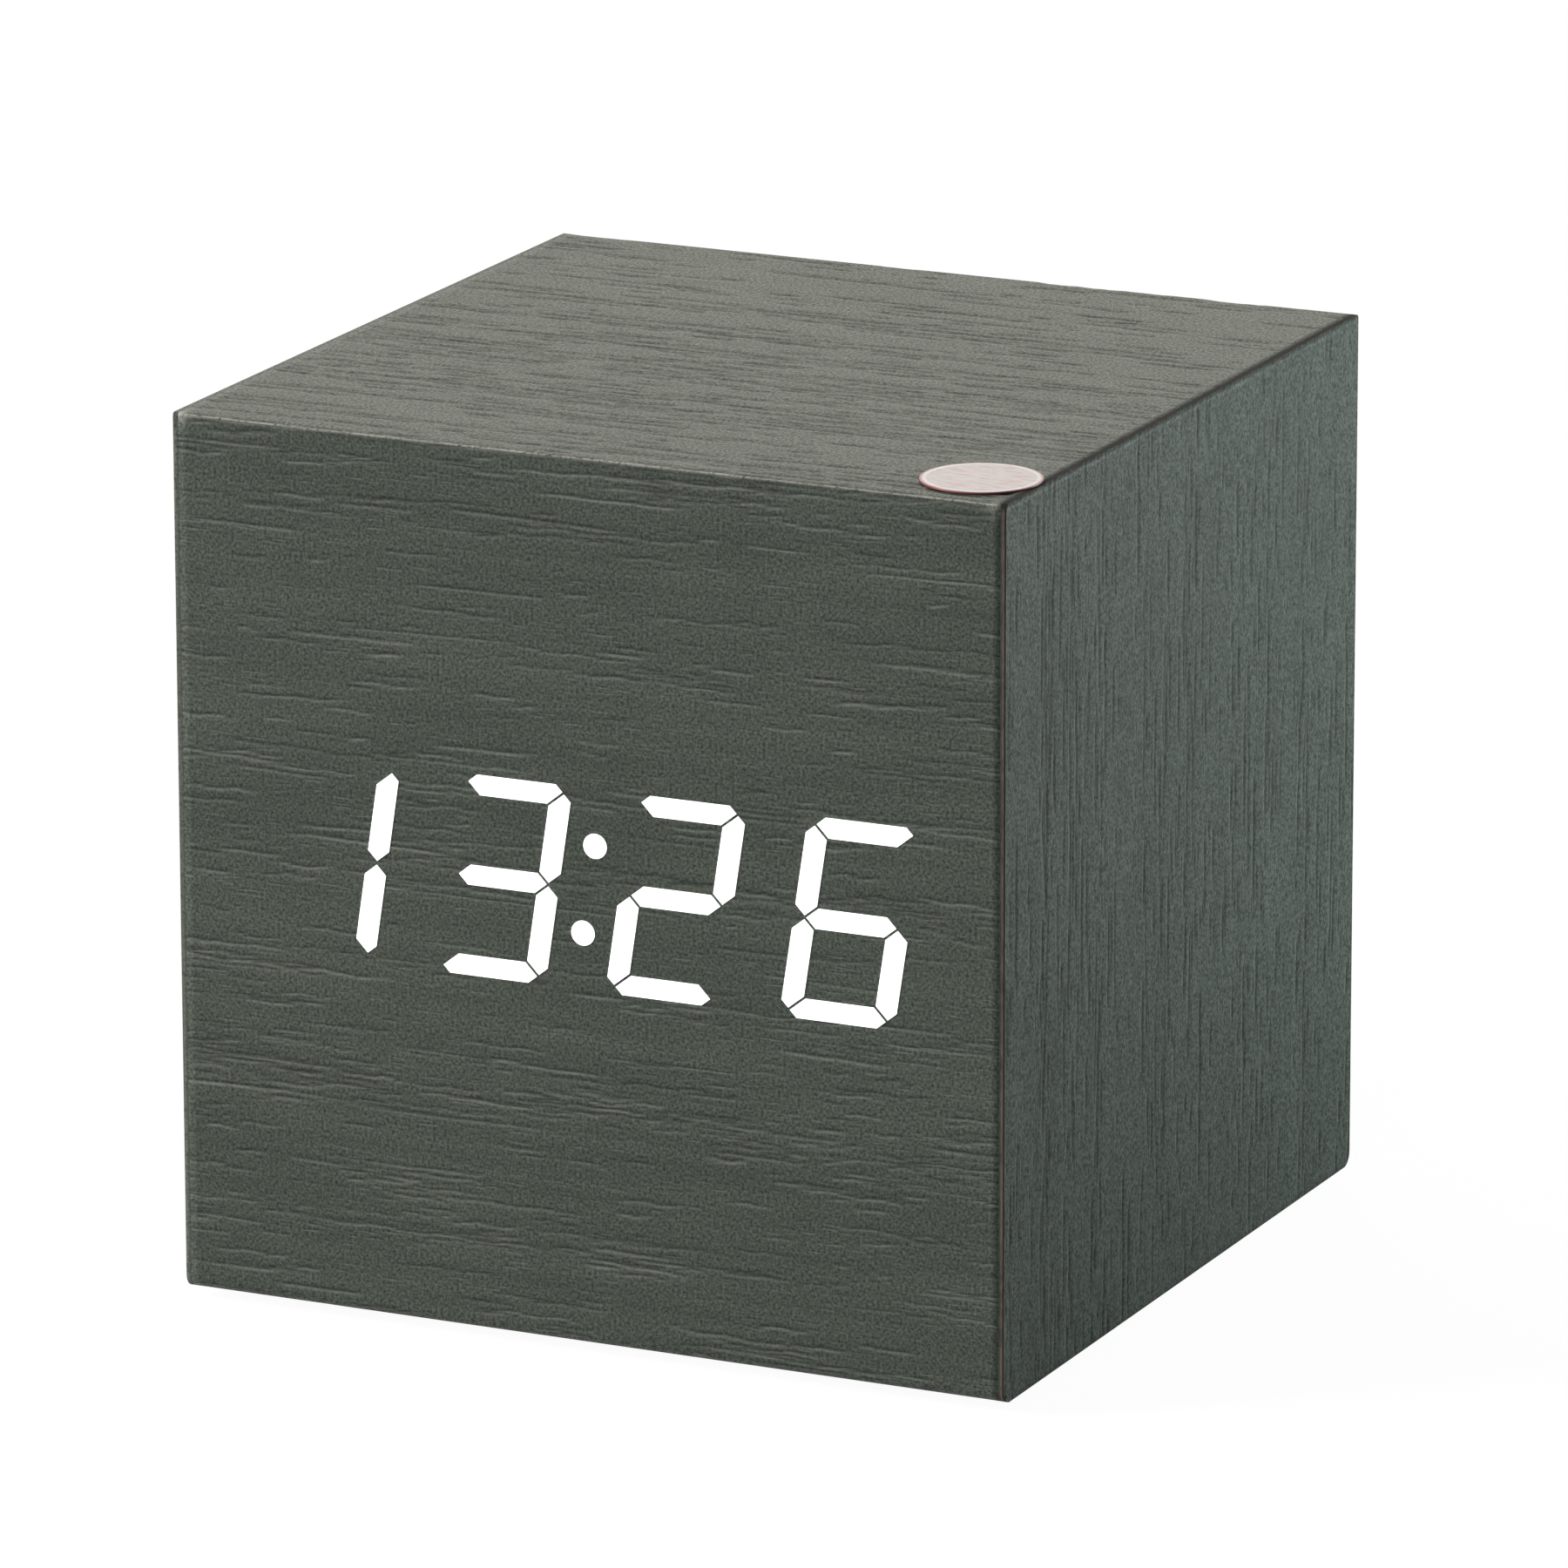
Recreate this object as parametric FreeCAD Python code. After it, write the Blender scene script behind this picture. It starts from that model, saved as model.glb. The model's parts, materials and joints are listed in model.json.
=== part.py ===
import FreeCAD, Part
import math
import os

V = FreeCAD.Vector

# Cube clock with a wood-grain casing, whose digits shine through the front.
# X runs across the front to the right, Y from the front to the rear, Z up.
# The origin is on the floor, under the middle of the casing. Lengths are millimetres, angles degrees.

# Casing: boards of 3 mm under a thin wood-grain film
body_w = 62.0
body_d = 60.5
body_h = 62.4
veneer_t = 0.4
board_t = 3.0
top_fold_r = 0.5
base_fold_r = 1.0
rear_top_r = 0.3
cut_over = 2.0

# Feet
foot_d = 8.0
foot_h = 0.8
foot_inset = 8.0

# Digits, seen through the front
digit_h = 14.2
digit_gap = 4.52
digit_margin = 1.96
digit_rise = 1.2
display_shift = 0.25
upright_t = 1.58
level_t = 1.42
mitre_shift = 0.14
corner_cut_share = 0.36
slant = 8.7
dot_d = 1.75
dot_pitch = 6.2
lit_t = 0.05
shown_time = "1326"
segments_of = {"1": "BC", "2": "ABDEG", "3": "ABCDG", "6": "ACDEFG"}

# Display behind the front board
shell_d = 8.0
shell_over = 2.4
shell_margin = 1.3
window_gap = 0.2
diffuser_t = 1.5
led_side = 1.0
led_h = 0.6
display_board_gap = 0.35
display_board_over = 3.5
circuit_t = 1.2
display_screw_edge = 5.0
display_screw_shank = 5.2

# Small self-tapping screws of the circuit boards
screw_head_d = 3.0
screw_head_h = 1.2
screw_shank_d = 1.6
screw_gap = 0.05
recess_share = 0.6
recess_w = 0.5
recess_depth = 0.6

# Rear plate with the battery tray
plate_inset = 1.5
plate_t = 1.8
plate_gap = 0.2
plate_corner_r = 1.0
plate_margin = 1.75
strip_w = 9.55
tray_wall = 1.2
tray_floor_t = 1.2
ledge_side = 1.2
ledge_seat = 0.1
ledge_end = 5.0
cradle_t = 1.2
cradle_drop = 2.0
cradle_gap = 0.2
cradle_inset = 8.25

# Corner blocks and the rear screws
block_side = 7.5
block_l = 12.0
rear_screw_head_d = 4.0
rear_screw_head_h = 1.3
rear_screw_shank_d = 2.0
rear_screw_shank_l = 8.0
head_gap = 0.2

# Battery: three cells side by side, of AAA size (10.5 by 44.5) in a casing of this size
cell_count = 3
cell_gap = 0.5
cell_nub_d = 3.8
cell_nub_h = 0.9
cell_play = 0.4
cell_seat = 0.15
cell_door_gap = 0.4
cell_edge_r = 0.4
contact_t = 0.4
contact_end_gap = 0.75
contact_side_gap = 1.25
tab_w = 3.0
tab_out = 2.0
tab_gap = 0.2
spring_l = 4.0
spring_wire_d = 0.5
spring_side_gap = 1.75
spring_top_r = 1.6
spring_turns = 3.5
arcs_per_turn = 4
coil_samples = 168
turn_apart_share = 0.75

# Battery door
door_t = 1.6
door_gap = 0.3
hook_w = 3.0
hook_t = 0.6
hook_reach = 1.1
hook_x = 5.5
hook_gap = 0.2
hook_swing = 0.7
latch_w = 10.0
latch_l = 9.0
latch_slot = 0.8
ridge_count = 4
ridge_pitch = 1.6
ridge_w = 0.7
ridge_h = 0.4
ridge_margin = 1.2

# Push buttons at the rear
cap_rise = 1.0
cap_edge_r = 0.3
cap_gap = 0.25
flange_clear = 1.2
flange_lip = 1.0
flange_t = 0.8
flange_seat = 0.05
button_travel = 0.5
button_count = 3
button_end_gap = 0.45
button_side_gap = 1.35
switch_clear = 2.2
switch_h = 3.5
switch_room = 1.45
well_depth = 1.2
well_gap = 0.25
plunger_share = 0.5
stem_share = 0.4
plunger_l = 1.3
button_board_side_gap = 0.475
button_board_end = 1.95
boss_d = 3.8
boss_gap = 0.3

# Microphone
mic_d = 6.0
mic_gap = 0.3
mic_hole_d = 1.4
mic_below = 5.6
mic_end_gap = 1.8

# Power jack
jack_side = 8.0
jack_l = 10.0
jack_nose_d = 6.0
jack_nose_l = 1.5
jack_gap = 0.15
jack_drop = 6.0
jack_bore_d = 3.7
jack_sleeve_t = 0.3
jack_sleeve_l = 7.0
jack_depth = 9.0
jack_pin_d = 1.3
jack_pin_back = 1.2
rib_t = 1.2
rib_l = 8.0
rib_gap = 0.1

# Main board
main_side_gap = 6.6
main_top_gap = 4.8
main_rise = 4.0
jack_lead_room = 5.05
post_d = 4.5
post_h = 3.0
post_beside = 3.5
post_end = 2.8
main_screw_shank = 4.0
board_edge = 3.4
chip_t = 1.6
coin_t = 2.0
coin_gap = 0.2
holder_wall = 0.8
holder_floor = 1.0
holder_lip = 0.4
crystal_d = 2.6
capacitor_l = 7.0
small_chip_t = 0.6

# Places on the main board, as shares of its half width and half height from its middle
clock_chip_shares = (-0.29, 0.26)
voice_chip_shares = (0.38, -0.1)
holder_shares = (-0.36, -0.42)
crystal_shares = (0.43, -0.66)
capacitor_shares = [(0.43, 0.53), (0.79, 0.53)]
small_chip_shares = [
    (-0.71, 0.47), (-0.71, 0.29), (-0.71, 0.11), (0.1, -0.2),
    (0.1, -0.36), (0.79, 0.05), (0.79, -0.15),
]

# Sizes on the main board, as shares of its width and height, or of the lesser of the two
clock_chip_size_shares = (0.24, 0.265)
voice_chip_size_shares = (0.19, 0.37)
small_chip_size_shares = (0.048, 0.033)
crystal_length_share = 0.167
coin_share = 0.329
capacitor_share = 0.166

# Touch pad on the top
pad_d = 8.3
pad_t = 0.15
pad_from_side = 4.28
pad_from_front = 5.55
foil_side = 8.0
foil_t = 0.2
foil_edge = 0.3

# Speaker, facing down through the base
speaker_d = 28.0
speaker_front_gap = 2.0
gasket_t = 0.6
gasket_w = 1.5
frame_t = 0.6
basket_h = 4.2
basket_slope = 5.0
magnet_edge = 2.5
magnet_h = 3.5
yoke_edge = 1.5
yoke_h = 0.8
cone_t = 0.3
cone_gap = 0.3
coil_edge = 1.0
dome_h = 1.2
speaker_tab_w = 9.0
speaker_tab_l = 4.5
speaker_tab_t = 0.8
grille_hole_d = 1.6
grille_ring_pitch = 4.0
grille_rings = 2

# Leads and ribbons: each route is a table of shares of the way from its start to its end, along X, Y and Z
lead_d = 1.0
battery_lead_d = 1.2
touch_lead_d = 0.8
ribbon_t = 0.6
display_ribbon_w = 8.0
button_ribbon_w = 4.0
jack_lead_pitch = 3.0
speaker_lead_pitch = 5.2
lead_inset = 1.4
touch_lead_gap = 0.59
bend_run_share = 0.45
touch_lead_shares = [(0, 0, 0.38), (0.17, 0.18, 0.55), (0.5, 0.48, 0.7), (0.86, 0.74, 0.9), (1, 0.88, 1)]
battery_lead_shares = [(0, 0, 1)]
jack_lead_shares = [(0, 0.4, 0), (1, 0.68, 1)]
speaker_lead_shares = [(0, 0, 0.38), (0.4, 0.24, 0.72), (1, 0.6, 1)]
display_ribbon_shares = [(0, 0.17, 0), (0, 0.48, 0.42), (0, 0.78, 1)]
button_ribbon_shares = [(0, 0.41, 0), (1, 0.63, 0)]

# Places that follow from the casing
base_z = foot_h
top_z = base_z + body_h
front_y = -body_d / 2
rear_y = body_d / 2
side_x = body_w / 2
core_x = side_x - veneer_t
core_front = front_y + veneer_t
core_base = base_z + veneer_t
core_top = top_z - veneer_t
room_x = core_x - board_t
room_front = core_front + board_t
room_base = core_base + board_t
room_top = core_top - board_t

# Places of the display
display_x = display_shift
display_z = (base_z + top_z) / 2 + digit_rise
display_board_w = 2 * (room_x - abs(display_shift) - display_board_gap)
shell_w = display_board_w - 2 * shell_margin
shell_h = digit_h + 2 * shell_over
display_board_h = shell_h + 2 * display_board_over
digit_count = len(shown_time)
digit_w = (shell_w - 2 * digit_margin - (digit_count - 1) * digit_gap) / digit_count
digit_pitch = digit_w + digit_gap
shell_rear = core_front + shell_d
display_board_rear = shell_rear + circuit_t
display_screw_z = (shell_h + display_board_h) / 4
display_screw_x = display_board_w / 2 - display_screw_edge
upright_x = (digit_w - upright_t) / 2
level_z = (digit_h - level_t) / 2

# Places of the rear plate and the battery tray
plate_outer = rear_y - plate_inset
plate_inner = plate_outer - plate_t
plate_x = room_x - plate_gap
plate_low = room_base + plate_gap
plate_high = room_top - plate_gap
plate_z = (room_base + room_top) / 2
door_inner = plate_outer - door_t
tray_x = plate_x - strip_w - tray_wall
tray_low = plate_low + plate_margin + tray_wall
tray_high = plate_high - plate_margin - tray_wall
cell_d = 2 * (tray_x - cell_play - cell_gap) / cell_count
cell_pitch = cell_d + cell_gap
cell_l = tray_high - tray_low - spring_l - 2 * contact_t
contact_w = cell_d - 2 * contact_end_gap
contact_h = cell_d - 2 * contact_side_gap
spring_base_r = cell_d / 2 - spring_side_gap
cell_y = door_inner - cell_door_gap - cell_d / 2
floor_rear = cell_y - cell_d / 2 - cell_seat
floor_front = floor_rear - tray_floor_t
cradle_top = cell_y - cradle_drop
cradle_reach = cell_l / 2 - cradle_inset
strip_x = plate_x - strip_w / 2
block_x = room_x - block_side / 2
block_low = room_base + block_side / 2
block_high = room_top - block_side / 2
jack_front = plate_inner - jack_l
post_face = min(floor_front - post_h, jack_front - jack_lead_room)
main_face = post_face - circuit_t
main_z = plate_z + main_rise
main_w = 2 * (room_x - main_side_gap)
main_h = 2 * (room_top - main_top_gap - main_z)
main_least = min(main_w, main_h)
post_x = cell_pitch + post_beside
post_z = main_h / 2 - post_end
coin_d = coin_share * main_least
capacitor_d = capacitor_share * main_least
crystal_l = crystal_length_share * main_w
jack_z = plate_z - jack_drop

# Places of the buttons
flange_rear = plate_inner - flange_seat
flange_front = flange_rear - flange_t
switch_rear = flange_front - switch_room
button_board_rear = switch_rear - switch_h
button_board_front = button_board_rear - circuit_t
button_board_w = strip_w - 2 * button_board_side_gap
button_board_top = block_high - block_side / 2 - button_end_gap
button_board_low = block_low + block_side / 2 + mic_end_gap
mic_z = button_board_low + mic_d / 2
boss_z = [button_board_top - button_board_end, mic_z + mic_below]
boss_side = boss_gap + boss_d / 2
button_pitch = (boss_z[0] - boss_z[1] - 2 * boss_side + flange_clear) / button_count
button_room = min(button_pitch, strip_w - button_side_gap)
flange_d = button_room - flange_clear
cap_d = flange_d - 2 * flange_lip
boss_reach = flange_d / 2 + boss_side
button_z = [boss_z[0] - boss_reach, (boss_z[0] + boss_z[1]) / 2, boss_z[1] + boss_reach]
switch_side = button_room - switch_clear
plunger_d = plunger_share * switch_side
stem_d = stem_share * switch_side

# Places of the power jack, the pad and the speaker
jack_nose_end = plate_inner + jack_nose_l
pad_x = side_x - pad_from_side
pad_y = front_y + pad_from_front
speaker_y = room_front + speaker_front_gap + speaker_d / 2
gasket_top = room_base + gasket_t
rim_top = gasket_top + frame_t
back_d = speaker_d - 2 * basket_slope
magnet_d = back_d - 2 * magnet_edge
yoke_d = magnet_d - 2 * yoke_edge
coil_d = yoke_d - 2 * coil_edge
back_low = rim_top + basket_h - frame_t
back_top = rim_top + basket_h


def box(x0, x1, y0, y1, z0, z1):
    """A block between two corners."""
    return Part.makeBox(x1 - x0, y1 - y0, z1 - z0, V(x0, y0, z0))


def rod(diameter, start, end):
    """A round bar from one point to another."""
    run = end - start
    return Part.makeCylinder(diameter / 2, run.Length, start, run)


def joined(shapes):
    """One solid, or one group of solids, from shapes that touch."""
    whole = shapes[0]
    if len(shapes) > 1:
        whole = whole.fuse(shapes[1:])
    return whole.removeSplitter()


def rounded_wire(points, radii):
    """A closed outline through the points, with an arc of its own radius at each of them."""
    count = len(points)
    edges = []
    corners = []
    for i in range(count):
        point = points[i]
        back = (points[i - 1] - point).normalize()
        ahead = (points[(i + 1) % count] - point).normalize()
        if radii[i] <= 0:
            corners.append((point, None, point))
            continue
        half = back.getAngle(ahead) / 2
        reach = radii[i] / math.tan(half)
        middle = (back + ahead).normalize() * (radii[i] / math.sin(half) - radii[i])
        corners.append((point + back * reach, point + middle, point + ahead * reach))
    for i in range(count):
        start, middle, end = corners[i]
        if middle is not None:
            edges.append(Part.Arc(start, middle, end).toShape())
        following = corners[(i + 1) % count][0]
        edges.append(Part.LineSegment(end, following).toShape())
    return Part.Wire(edges)


def slab_x(x0, x1, outline, radii=None):
    """A slab from x0 to x1 with an outline of (y, z) points."""
    points = [V(x0, y, z) for y, z in outline]
    wire = rounded_wire(points, radii or [0] * len(points))
    return Part.Face(wire).extrude(V(x1 - x0, 0, 0))


def slab_y(y0, y1, outline, radii=None):
    """A slab from y0 to y1 with an outline of (x, z) points."""
    points = [V(x, y0, z) for x, z in outline]
    wire = rounded_wire(points, radii or [0] * len(points))
    return Part.Face(wire).extrude(V(0, y1 - y0, 0))


def slab_z(z0, z1, outline, radii=None):
    """A slab from z0 to z1 with an outline of (x, y) points."""
    points = [V(x, y, z0) for x, y in outline]
    wire = rounded_wire(points, radii or [0] * len(points))
    return Part.Face(wire).extrude(V(0, 0, z1 - z0))


def rectangle(a0, a1, b0, b1):
    """The four corners of a rectangle."""
    return [(a0, b0), (a1, b0), (a1, b1), (a0, b1)]


def turned_z(outline, centre):
    """A round body about an upright axis, from an outline of (radius, z) points."""
    points = [V(radius, 0, z) for radius, z in outline]
    face = Part.Face(rounded_wire(points, [0] * len(points)))
    body = face.revolve(V(0, 0, 0), V(0, 0, 1), 360)
    body.translate(centre)
    return body


def screw(head_d, head_h, shank_d, shank_l, seat, ahead):
    """A cross-head screw whose head sits on the point seat; ahead is the unit way that it is driven."""
    back = ahead * -1
    head = rod(head_d, seat, seat + back * head_h)
    shank = rod(shank_d, seat, seat + ahead * shank_l)
    body = head.fuse(shank)
    across = ahead.cross(V(0, 0, 1))
    if across.Length == 0:
        across = V(1, 0, 0)
    up = ahead.cross(across)
    reach = head_d * recess_share / 2
    floor = seat + back * (head_h - recess_depth)
    for run, side in ((across, up), (up, across)):
        low = floor - run * reach - side * (recess_w / 2)
        high = low + run * (2 * reach)
        corners = [low, high, high + side * recess_w, low + side * recess_w]
        slot = Part.Face(Part.makePolygon(corners + [low])).extrude(back * (recess_depth + cut_over))
        body = body.cut(slot)
    return body


def small_screw(shank_l, seat, ahead):
    """One of the small screws that hold the circuit boards."""
    return screw(screw_head_d, screw_head_h, screw_shank_d, shank_l, seat, ahead)


def route_corners(points):
    """For each inner point of a route: the arc's start, middle and end, and its radius.
    The radius is a share of the shorter run beside the point, over the tangent of half the turn."""
    corners = []
    for i in range(1, len(points) - 1):
        back = points[i - 1] - points[i]
        ahead = points[i + 1] - points[i]
        run = bend_run_share * min(back.Length, ahead.Length)
        back = back.normalize()
        ahead = ahead.normalize()
        half_turn = (math.pi - back.getAngle(ahead)) / 2
        radius = run / math.tan(half_turn)
        middle = (back + ahead).normalize() * (radius / math.cos(half_turn) - radius)
        corners.append((points[i] + back * run, points[i] + middle, points[i] + ahead * run, radius))
    return corners


def route_between(start, end, shares):
    """A route from start to end through points at shares of the way along X, Y and Z."""
    way = end - start
    middle = [start + V(way.x * a, way.y * b, way.z * c) for a, b, c in shares]
    return [start] + middle + [end]


def lead(points, diameter, name):
    """An insulated lead along straight runs joined by tangent arcs."""
    edges = []
    here = points[0]
    radii = []
    for start, middle, end, radius in route_corners(points):
        edges.append(Part.LineSegment(here, start).toShape())
        edges.append(Part.Arc(start, middle, end).toShape())
        here = end
        radii.append(radius)
    edges.append(Part.LineSegment(here, points[-1]).toShape())
    path = Part.Wire(edges)
    ring = Part.Wire(Part.makeCircle(diameter / 2, points[0], points[1] - points[0]))
    body = path.makePipeShell([ring], True, False)
    expected = math.pi * diameter ** 2 / 4 * path.Length
    rounded = [round(radius, 2) for radius in radii]
    print(name, "bend radii", rounded, "volume share", round(body.Volume / expected, 4))
    return body


def ribbon_outline(points, thickness):
    """The outline of a flat ribbon seen from its edge, along a flat route of (a, b) points."""
    route = [V(a, b, 0) for a, b in points]
    corners = route_corners(route)
    sides = []
    for way in (1, -1):
        side = []
        for i, point in enumerate(route):
            before = (point - route[i - 1]).normalize() if i else (route[1] - point).normalize()
            after = (route[i + 1] - point).normalize() if i < len(route) - 1 else before
            left = V(0, 0, way)
            normal = (left.cross(before) + left.cross(after)).normalize()
            stretch = 1 / normal.dot(left.cross(before))
            offset = point + normal * (stretch * thickness / 2)
            radius = 0
            if 0 < i < len(route) - 1:
                inward = (before - after).dot(normal) < 0
                radius = corners[i - 1][3] + (-thickness / 2 if inward else thickness / 2)
            side.append(((offset.x, offset.y), radius))
        sides.append(side)
    whole = sides[0] + sides[1][::-1]
    return [place for place, radius in whole], [radius for place, radius in whole]


def biarc(start, start_way, end, end_way):
    """Two arcs from one point to another that leave and arrive along the given unit ways."""
    gap = end - start
    ways = start_way + end_way
    slope = 2 * (1 - start_way.dot(end_way))
    along = gap.dot(ways)
    reach = (math.sqrt(along ** 2 + slope * gap.dot(gap)) - along) / slope
    corner_a = start + start_way * reach
    corner_b = end - end_way * reach
    joint = (corner_a + corner_b) * 0.5
    edges = []
    for first, corner, last in ((start, corner_a, joint), (joint, corner_b, end)):
        chord_mid = (first + last) * 0.5
        drop = chord_mid - corner
        radius = reach * (first - chord_mid).Length / drop.Length
        middle = corner + drop.normalize() * (math.hypot(radius, reach) - radius)
        edges.append(Part.Arc(first, middle, last).toShape())
    return edges


def least_gap(points):
    """The least distance between points of a coil that lie most of a turn apart or more."""
    apart = round(len(points) / spring_turns * turn_apart_share)
    pairs = [(i, j) for i in range(len(points)) for j in range(i + apart, len(points))]
    return min((points[i] - points[j]).Length for i, j in pairs)


def conical_spring(base, axis_way):
    """A conical battery spring: one round wire, wide at its base, narrow where it meets the cell."""
    climb = spring_l - spring_wire_d
    steps = round(spring_turns * arcs_per_turn)
    total = 2 * math.pi * spring_turns

    def at(share):
        """Point and unit way on the coil's centre line at a share of its turns."""
        angle = total * share
        radius = spring_base_r + (spring_top_r - spring_base_r) * share
        rise = spring_wire_d / 2 + climb * share
        point = V(radius * math.cos(angle), radius * math.sin(angle), axis_way * rise)
        shrink = spring_top_r - spring_base_r
        way = V(
            shrink * math.cos(angle) - total * radius * math.sin(angle),
            shrink * math.sin(angle) + total * radius * math.cos(angle),
            axis_way * climb,
        )
        return point, way.normalize()

    edges = []
    for step in range(steps):
        start, start_way = at(step / steps)
        end, end_way = at((step + 1) / steps)
        edges += biarc(start, start_way, end, end_way)
    path = Part.Wire(edges)
    first, first_way = at(0)
    ring = Part.Wire(Part.makeCircle(spring_wire_d / 2, first, first_way))
    coil = path.makePipeShell([ring], True, False)
    gap = least_gap([at(k / coil_samples)[0] for k in range(coil_samples + 1)]) - spring_wire_d
    expected = math.pi * spring_wire_d ** 2 / 4 * path.Length
    print("battery_spring least gap", round(gap, 2), "volume share", round(coil.Volume / expected, 4))
    coil.translate(base)
    return coil


# Casing


def casing_profile(x0, x1):
    """The whole casing seen from the side, with its softened edges."""
    outline = [(front_y, base_z), (rear_y, base_z), (rear_y, top_z), (front_y, top_z)]
    return slab_x(x0, x1, outline, [base_fold_r, base_fold_r, rear_top_r, top_fold_r])


def core_profile(x0, x1):
    """What lies inside the wrapped film, from the front to the open rear."""
    outline = [(core_front, core_base), (rear_y, core_base), (rear_y, core_top), (core_front, core_top)]
    inner = slab_x(x0, x1, outline, [base_fold_r - veneer_t, 0, 0, top_fold_r - veneer_t])
    return inner.common(casing_profile(x0, x1))


def grille_holes(z0, z1):
    """Round holes in rings under the speaker."""
    holes = [rod(grille_hole_d, V(0, speaker_y, z0), V(0, speaker_y, z1))]
    for ring in range(1, grille_rings + 1):
        count = 6 * ring
        radius = ring * grille_ring_pitch
        for k in range(count):
            angle = 2 * math.pi * k / count
            x = radius * math.cos(angle)
            y = speaker_y + radius * math.sin(angle)
            holes.append(rod(grille_hole_d, V(x, y, z0), V(x, y, z1)))
    return Part.makeCompound(holes)


def make_wrap_veneer():
    """One sheet of film folded round the base, the front and the top."""
    inside = [(core_front, core_base), (rear_y + cut_over, core_base)]
    inside += [(rear_y + cut_over, core_top), (core_front, core_top)]
    radii = [base_fold_r - veneer_t, 0, 0, top_fold_r - veneer_t]
    hollow = slab_x(-side_x, side_x, inside, radii)
    sheet = casing_profile(-core_x, core_x).cut(hollow)
    return sheet.cut(grille_holes(base_z - cut_over, core_base + cut_over))


def make_side_veneer(way):
    """The film of one side, whose cut edges show round the side."""
    x0, x1 = sorted((way * core_x, way * side_x))
    return casing_profile(x0, x1)


def make_side_board(way):
    """The full board of one side."""
    x0, x1 = sorted((way * room_x, way * core_x))
    return core_profile(x0, x1)


def board_of_sheet(outline):
    """One mitred board between the side boards, from its outline seen from the side."""
    return core_profile(-room_x, room_x).common(slab_x(-room_x, room_x, outline))


def make_bottom_board():
    """The base board, with the speaker's holes."""
    outline = [(core_front, core_base), (rear_y, core_base), (rear_y, room_base), (room_front, room_base)]
    return board_of_sheet(outline).cut(grille_holes(core_base - cut_over, room_base + cut_over))


def make_top_board():
    """The top board."""
    outline = [(core_front, core_top), (room_front, room_top), (rear_y, room_top), (rear_y, core_top)]
    return board_of_sheet(outline)


def make_front_board():
    """The front board, with the window that the display stands in."""
    outline = [(core_front, core_base), (room_front, room_base)]
    outline += [(room_front, room_top), (core_front, core_top)]
    half_w = shell_w / 2 + window_gap
    half_h = shell_h / 2 + window_gap
    window = box(
        display_x - half_w, display_x + half_w,
        core_front - cut_over, room_front + cut_over,
        display_z - half_h, display_z + half_h,
    )
    return board_of_sheet(outline).cut(window)


def block_places():
    """The centres of the corner blocks and rear screws, as (x, z)."""
    return [(x, z) for x in (-block_x, block_x) for z in (block_low, block_high)]


def make_corner_blocks():
    """Four glued blocks that take the rear screws."""
    blocks = []
    for x, z in block_places():
        half = block_side / 2
        block = box(x - half, x + half, plate_inner - block_l, plate_inner, z - half, z + half)
        pilot_end = plate_inner - rear_screw_shank_l
        pilot = rod(rear_screw_shank_d + 2 * screw_gap, V(x, plate_inner + cut_over, z), V(x, pilot_end, z))
        blocks.append(block.cut(pilot))
    return Part.makeCompound(blocks)


def make_feet():
    """Four round pads under the base."""
    feet = []
    for x in (-side_x + foot_inset, side_x - foot_inset):
        for y in (front_y + foot_inset, rear_y - foot_inset):
            feet.append(rod(foot_d, V(x, y, 0), V(x, y, foot_h)))
    return Part.makeCompound(feet)


# Touch pad


def make_talk_pad():
    """The round touch pad on the top, near the front right corner."""
    return rod(pad_d, V(pad_x, pad_y, top_z), V(pad_x, pad_y, top_z + pad_t))


def foil_centre():
    """The middle of the sensing foil, as close under the pad as the walls allow."""
    x = room_x - foil_edge - foil_side / 2
    y = room_front + foil_edge + foil_side / 2
    return x, y


def make_touch_foil():
    """The sensing foil under the top board."""
    x, y = foil_centre()
    half = foil_side / 2
    return box(x - half, x + half, y - half, y + half, room_top - foil_t, room_top)


def make_touch_lead():
    """The lead from the sensing foil to the main board."""
    x, y = foil_centre()
    start = V(x - lead_inset, y + lead_inset, room_top - foil_t)
    end = V(post_x + screw_head_d / 2 + touch_lead_gap, main_face, main_z + main_h / 2 - board_edge)
    return lead(route_between(start, end, touch_lead_shares), touch_lead_d, "touch_lead")


# Display


def level_bar(row):
    """A level segment's outline for the upper row (1) or the middle row (0), as (x, z) points."""
    end = upright_x - upright_t / 2 - mitre_shift
    if row == 0:
        tip = upright_x - mitre_shift
        half = level_t / 2
        return [(-end, -half), (end, -half), (tip, 0), (end, half), (-end, half), (-tip, 0)]
    outer_x = upright_x + upright_t / 2 - mitre_shift
    outer_z = level_z + level_t / 2
    inner_z = level_z - level_t / 2
    tip_x = outer_x - upright_t * corner_cut_share
    tip_z = outer_z - level_t * corner_cut_share
    cut_x = outer_x - 2 * upright_t * corner_cut_share
    return [
        (-end, inner_z), (end, inner_z), (tip_x, tip_z),
        (cut_x, outer_z), (-cut_x, outer_z), (-tip_x, tip_z),
    ]


def upright_bar():
    """The upper right segment's outline, as (x, z) points."""
    inner_x = upright_x - upright_t / 2
    outer_x = upright_x + upright_t / 2
    shoulder = level_t / 2 + mitre_shift
    outer_z = level_z + level_t / 2 - mitre_shift
    inner_z = level_z - level_t / 2 - mitre_shift
    tip_x = outer_x - upright_t * corner_cut_share
    tip_z = outer_z - level_t * corner_cut_share
    cut_z = outer_z - 2 * level_t * corner_cut_share
    return [
        (inner_x, shoulder), (upright_x, mitre_shift), (outer_x, shoulder),
        (outer_x, cut_z), (tip_x, tip_z), (inner_x, inner_z),
    ]


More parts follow.
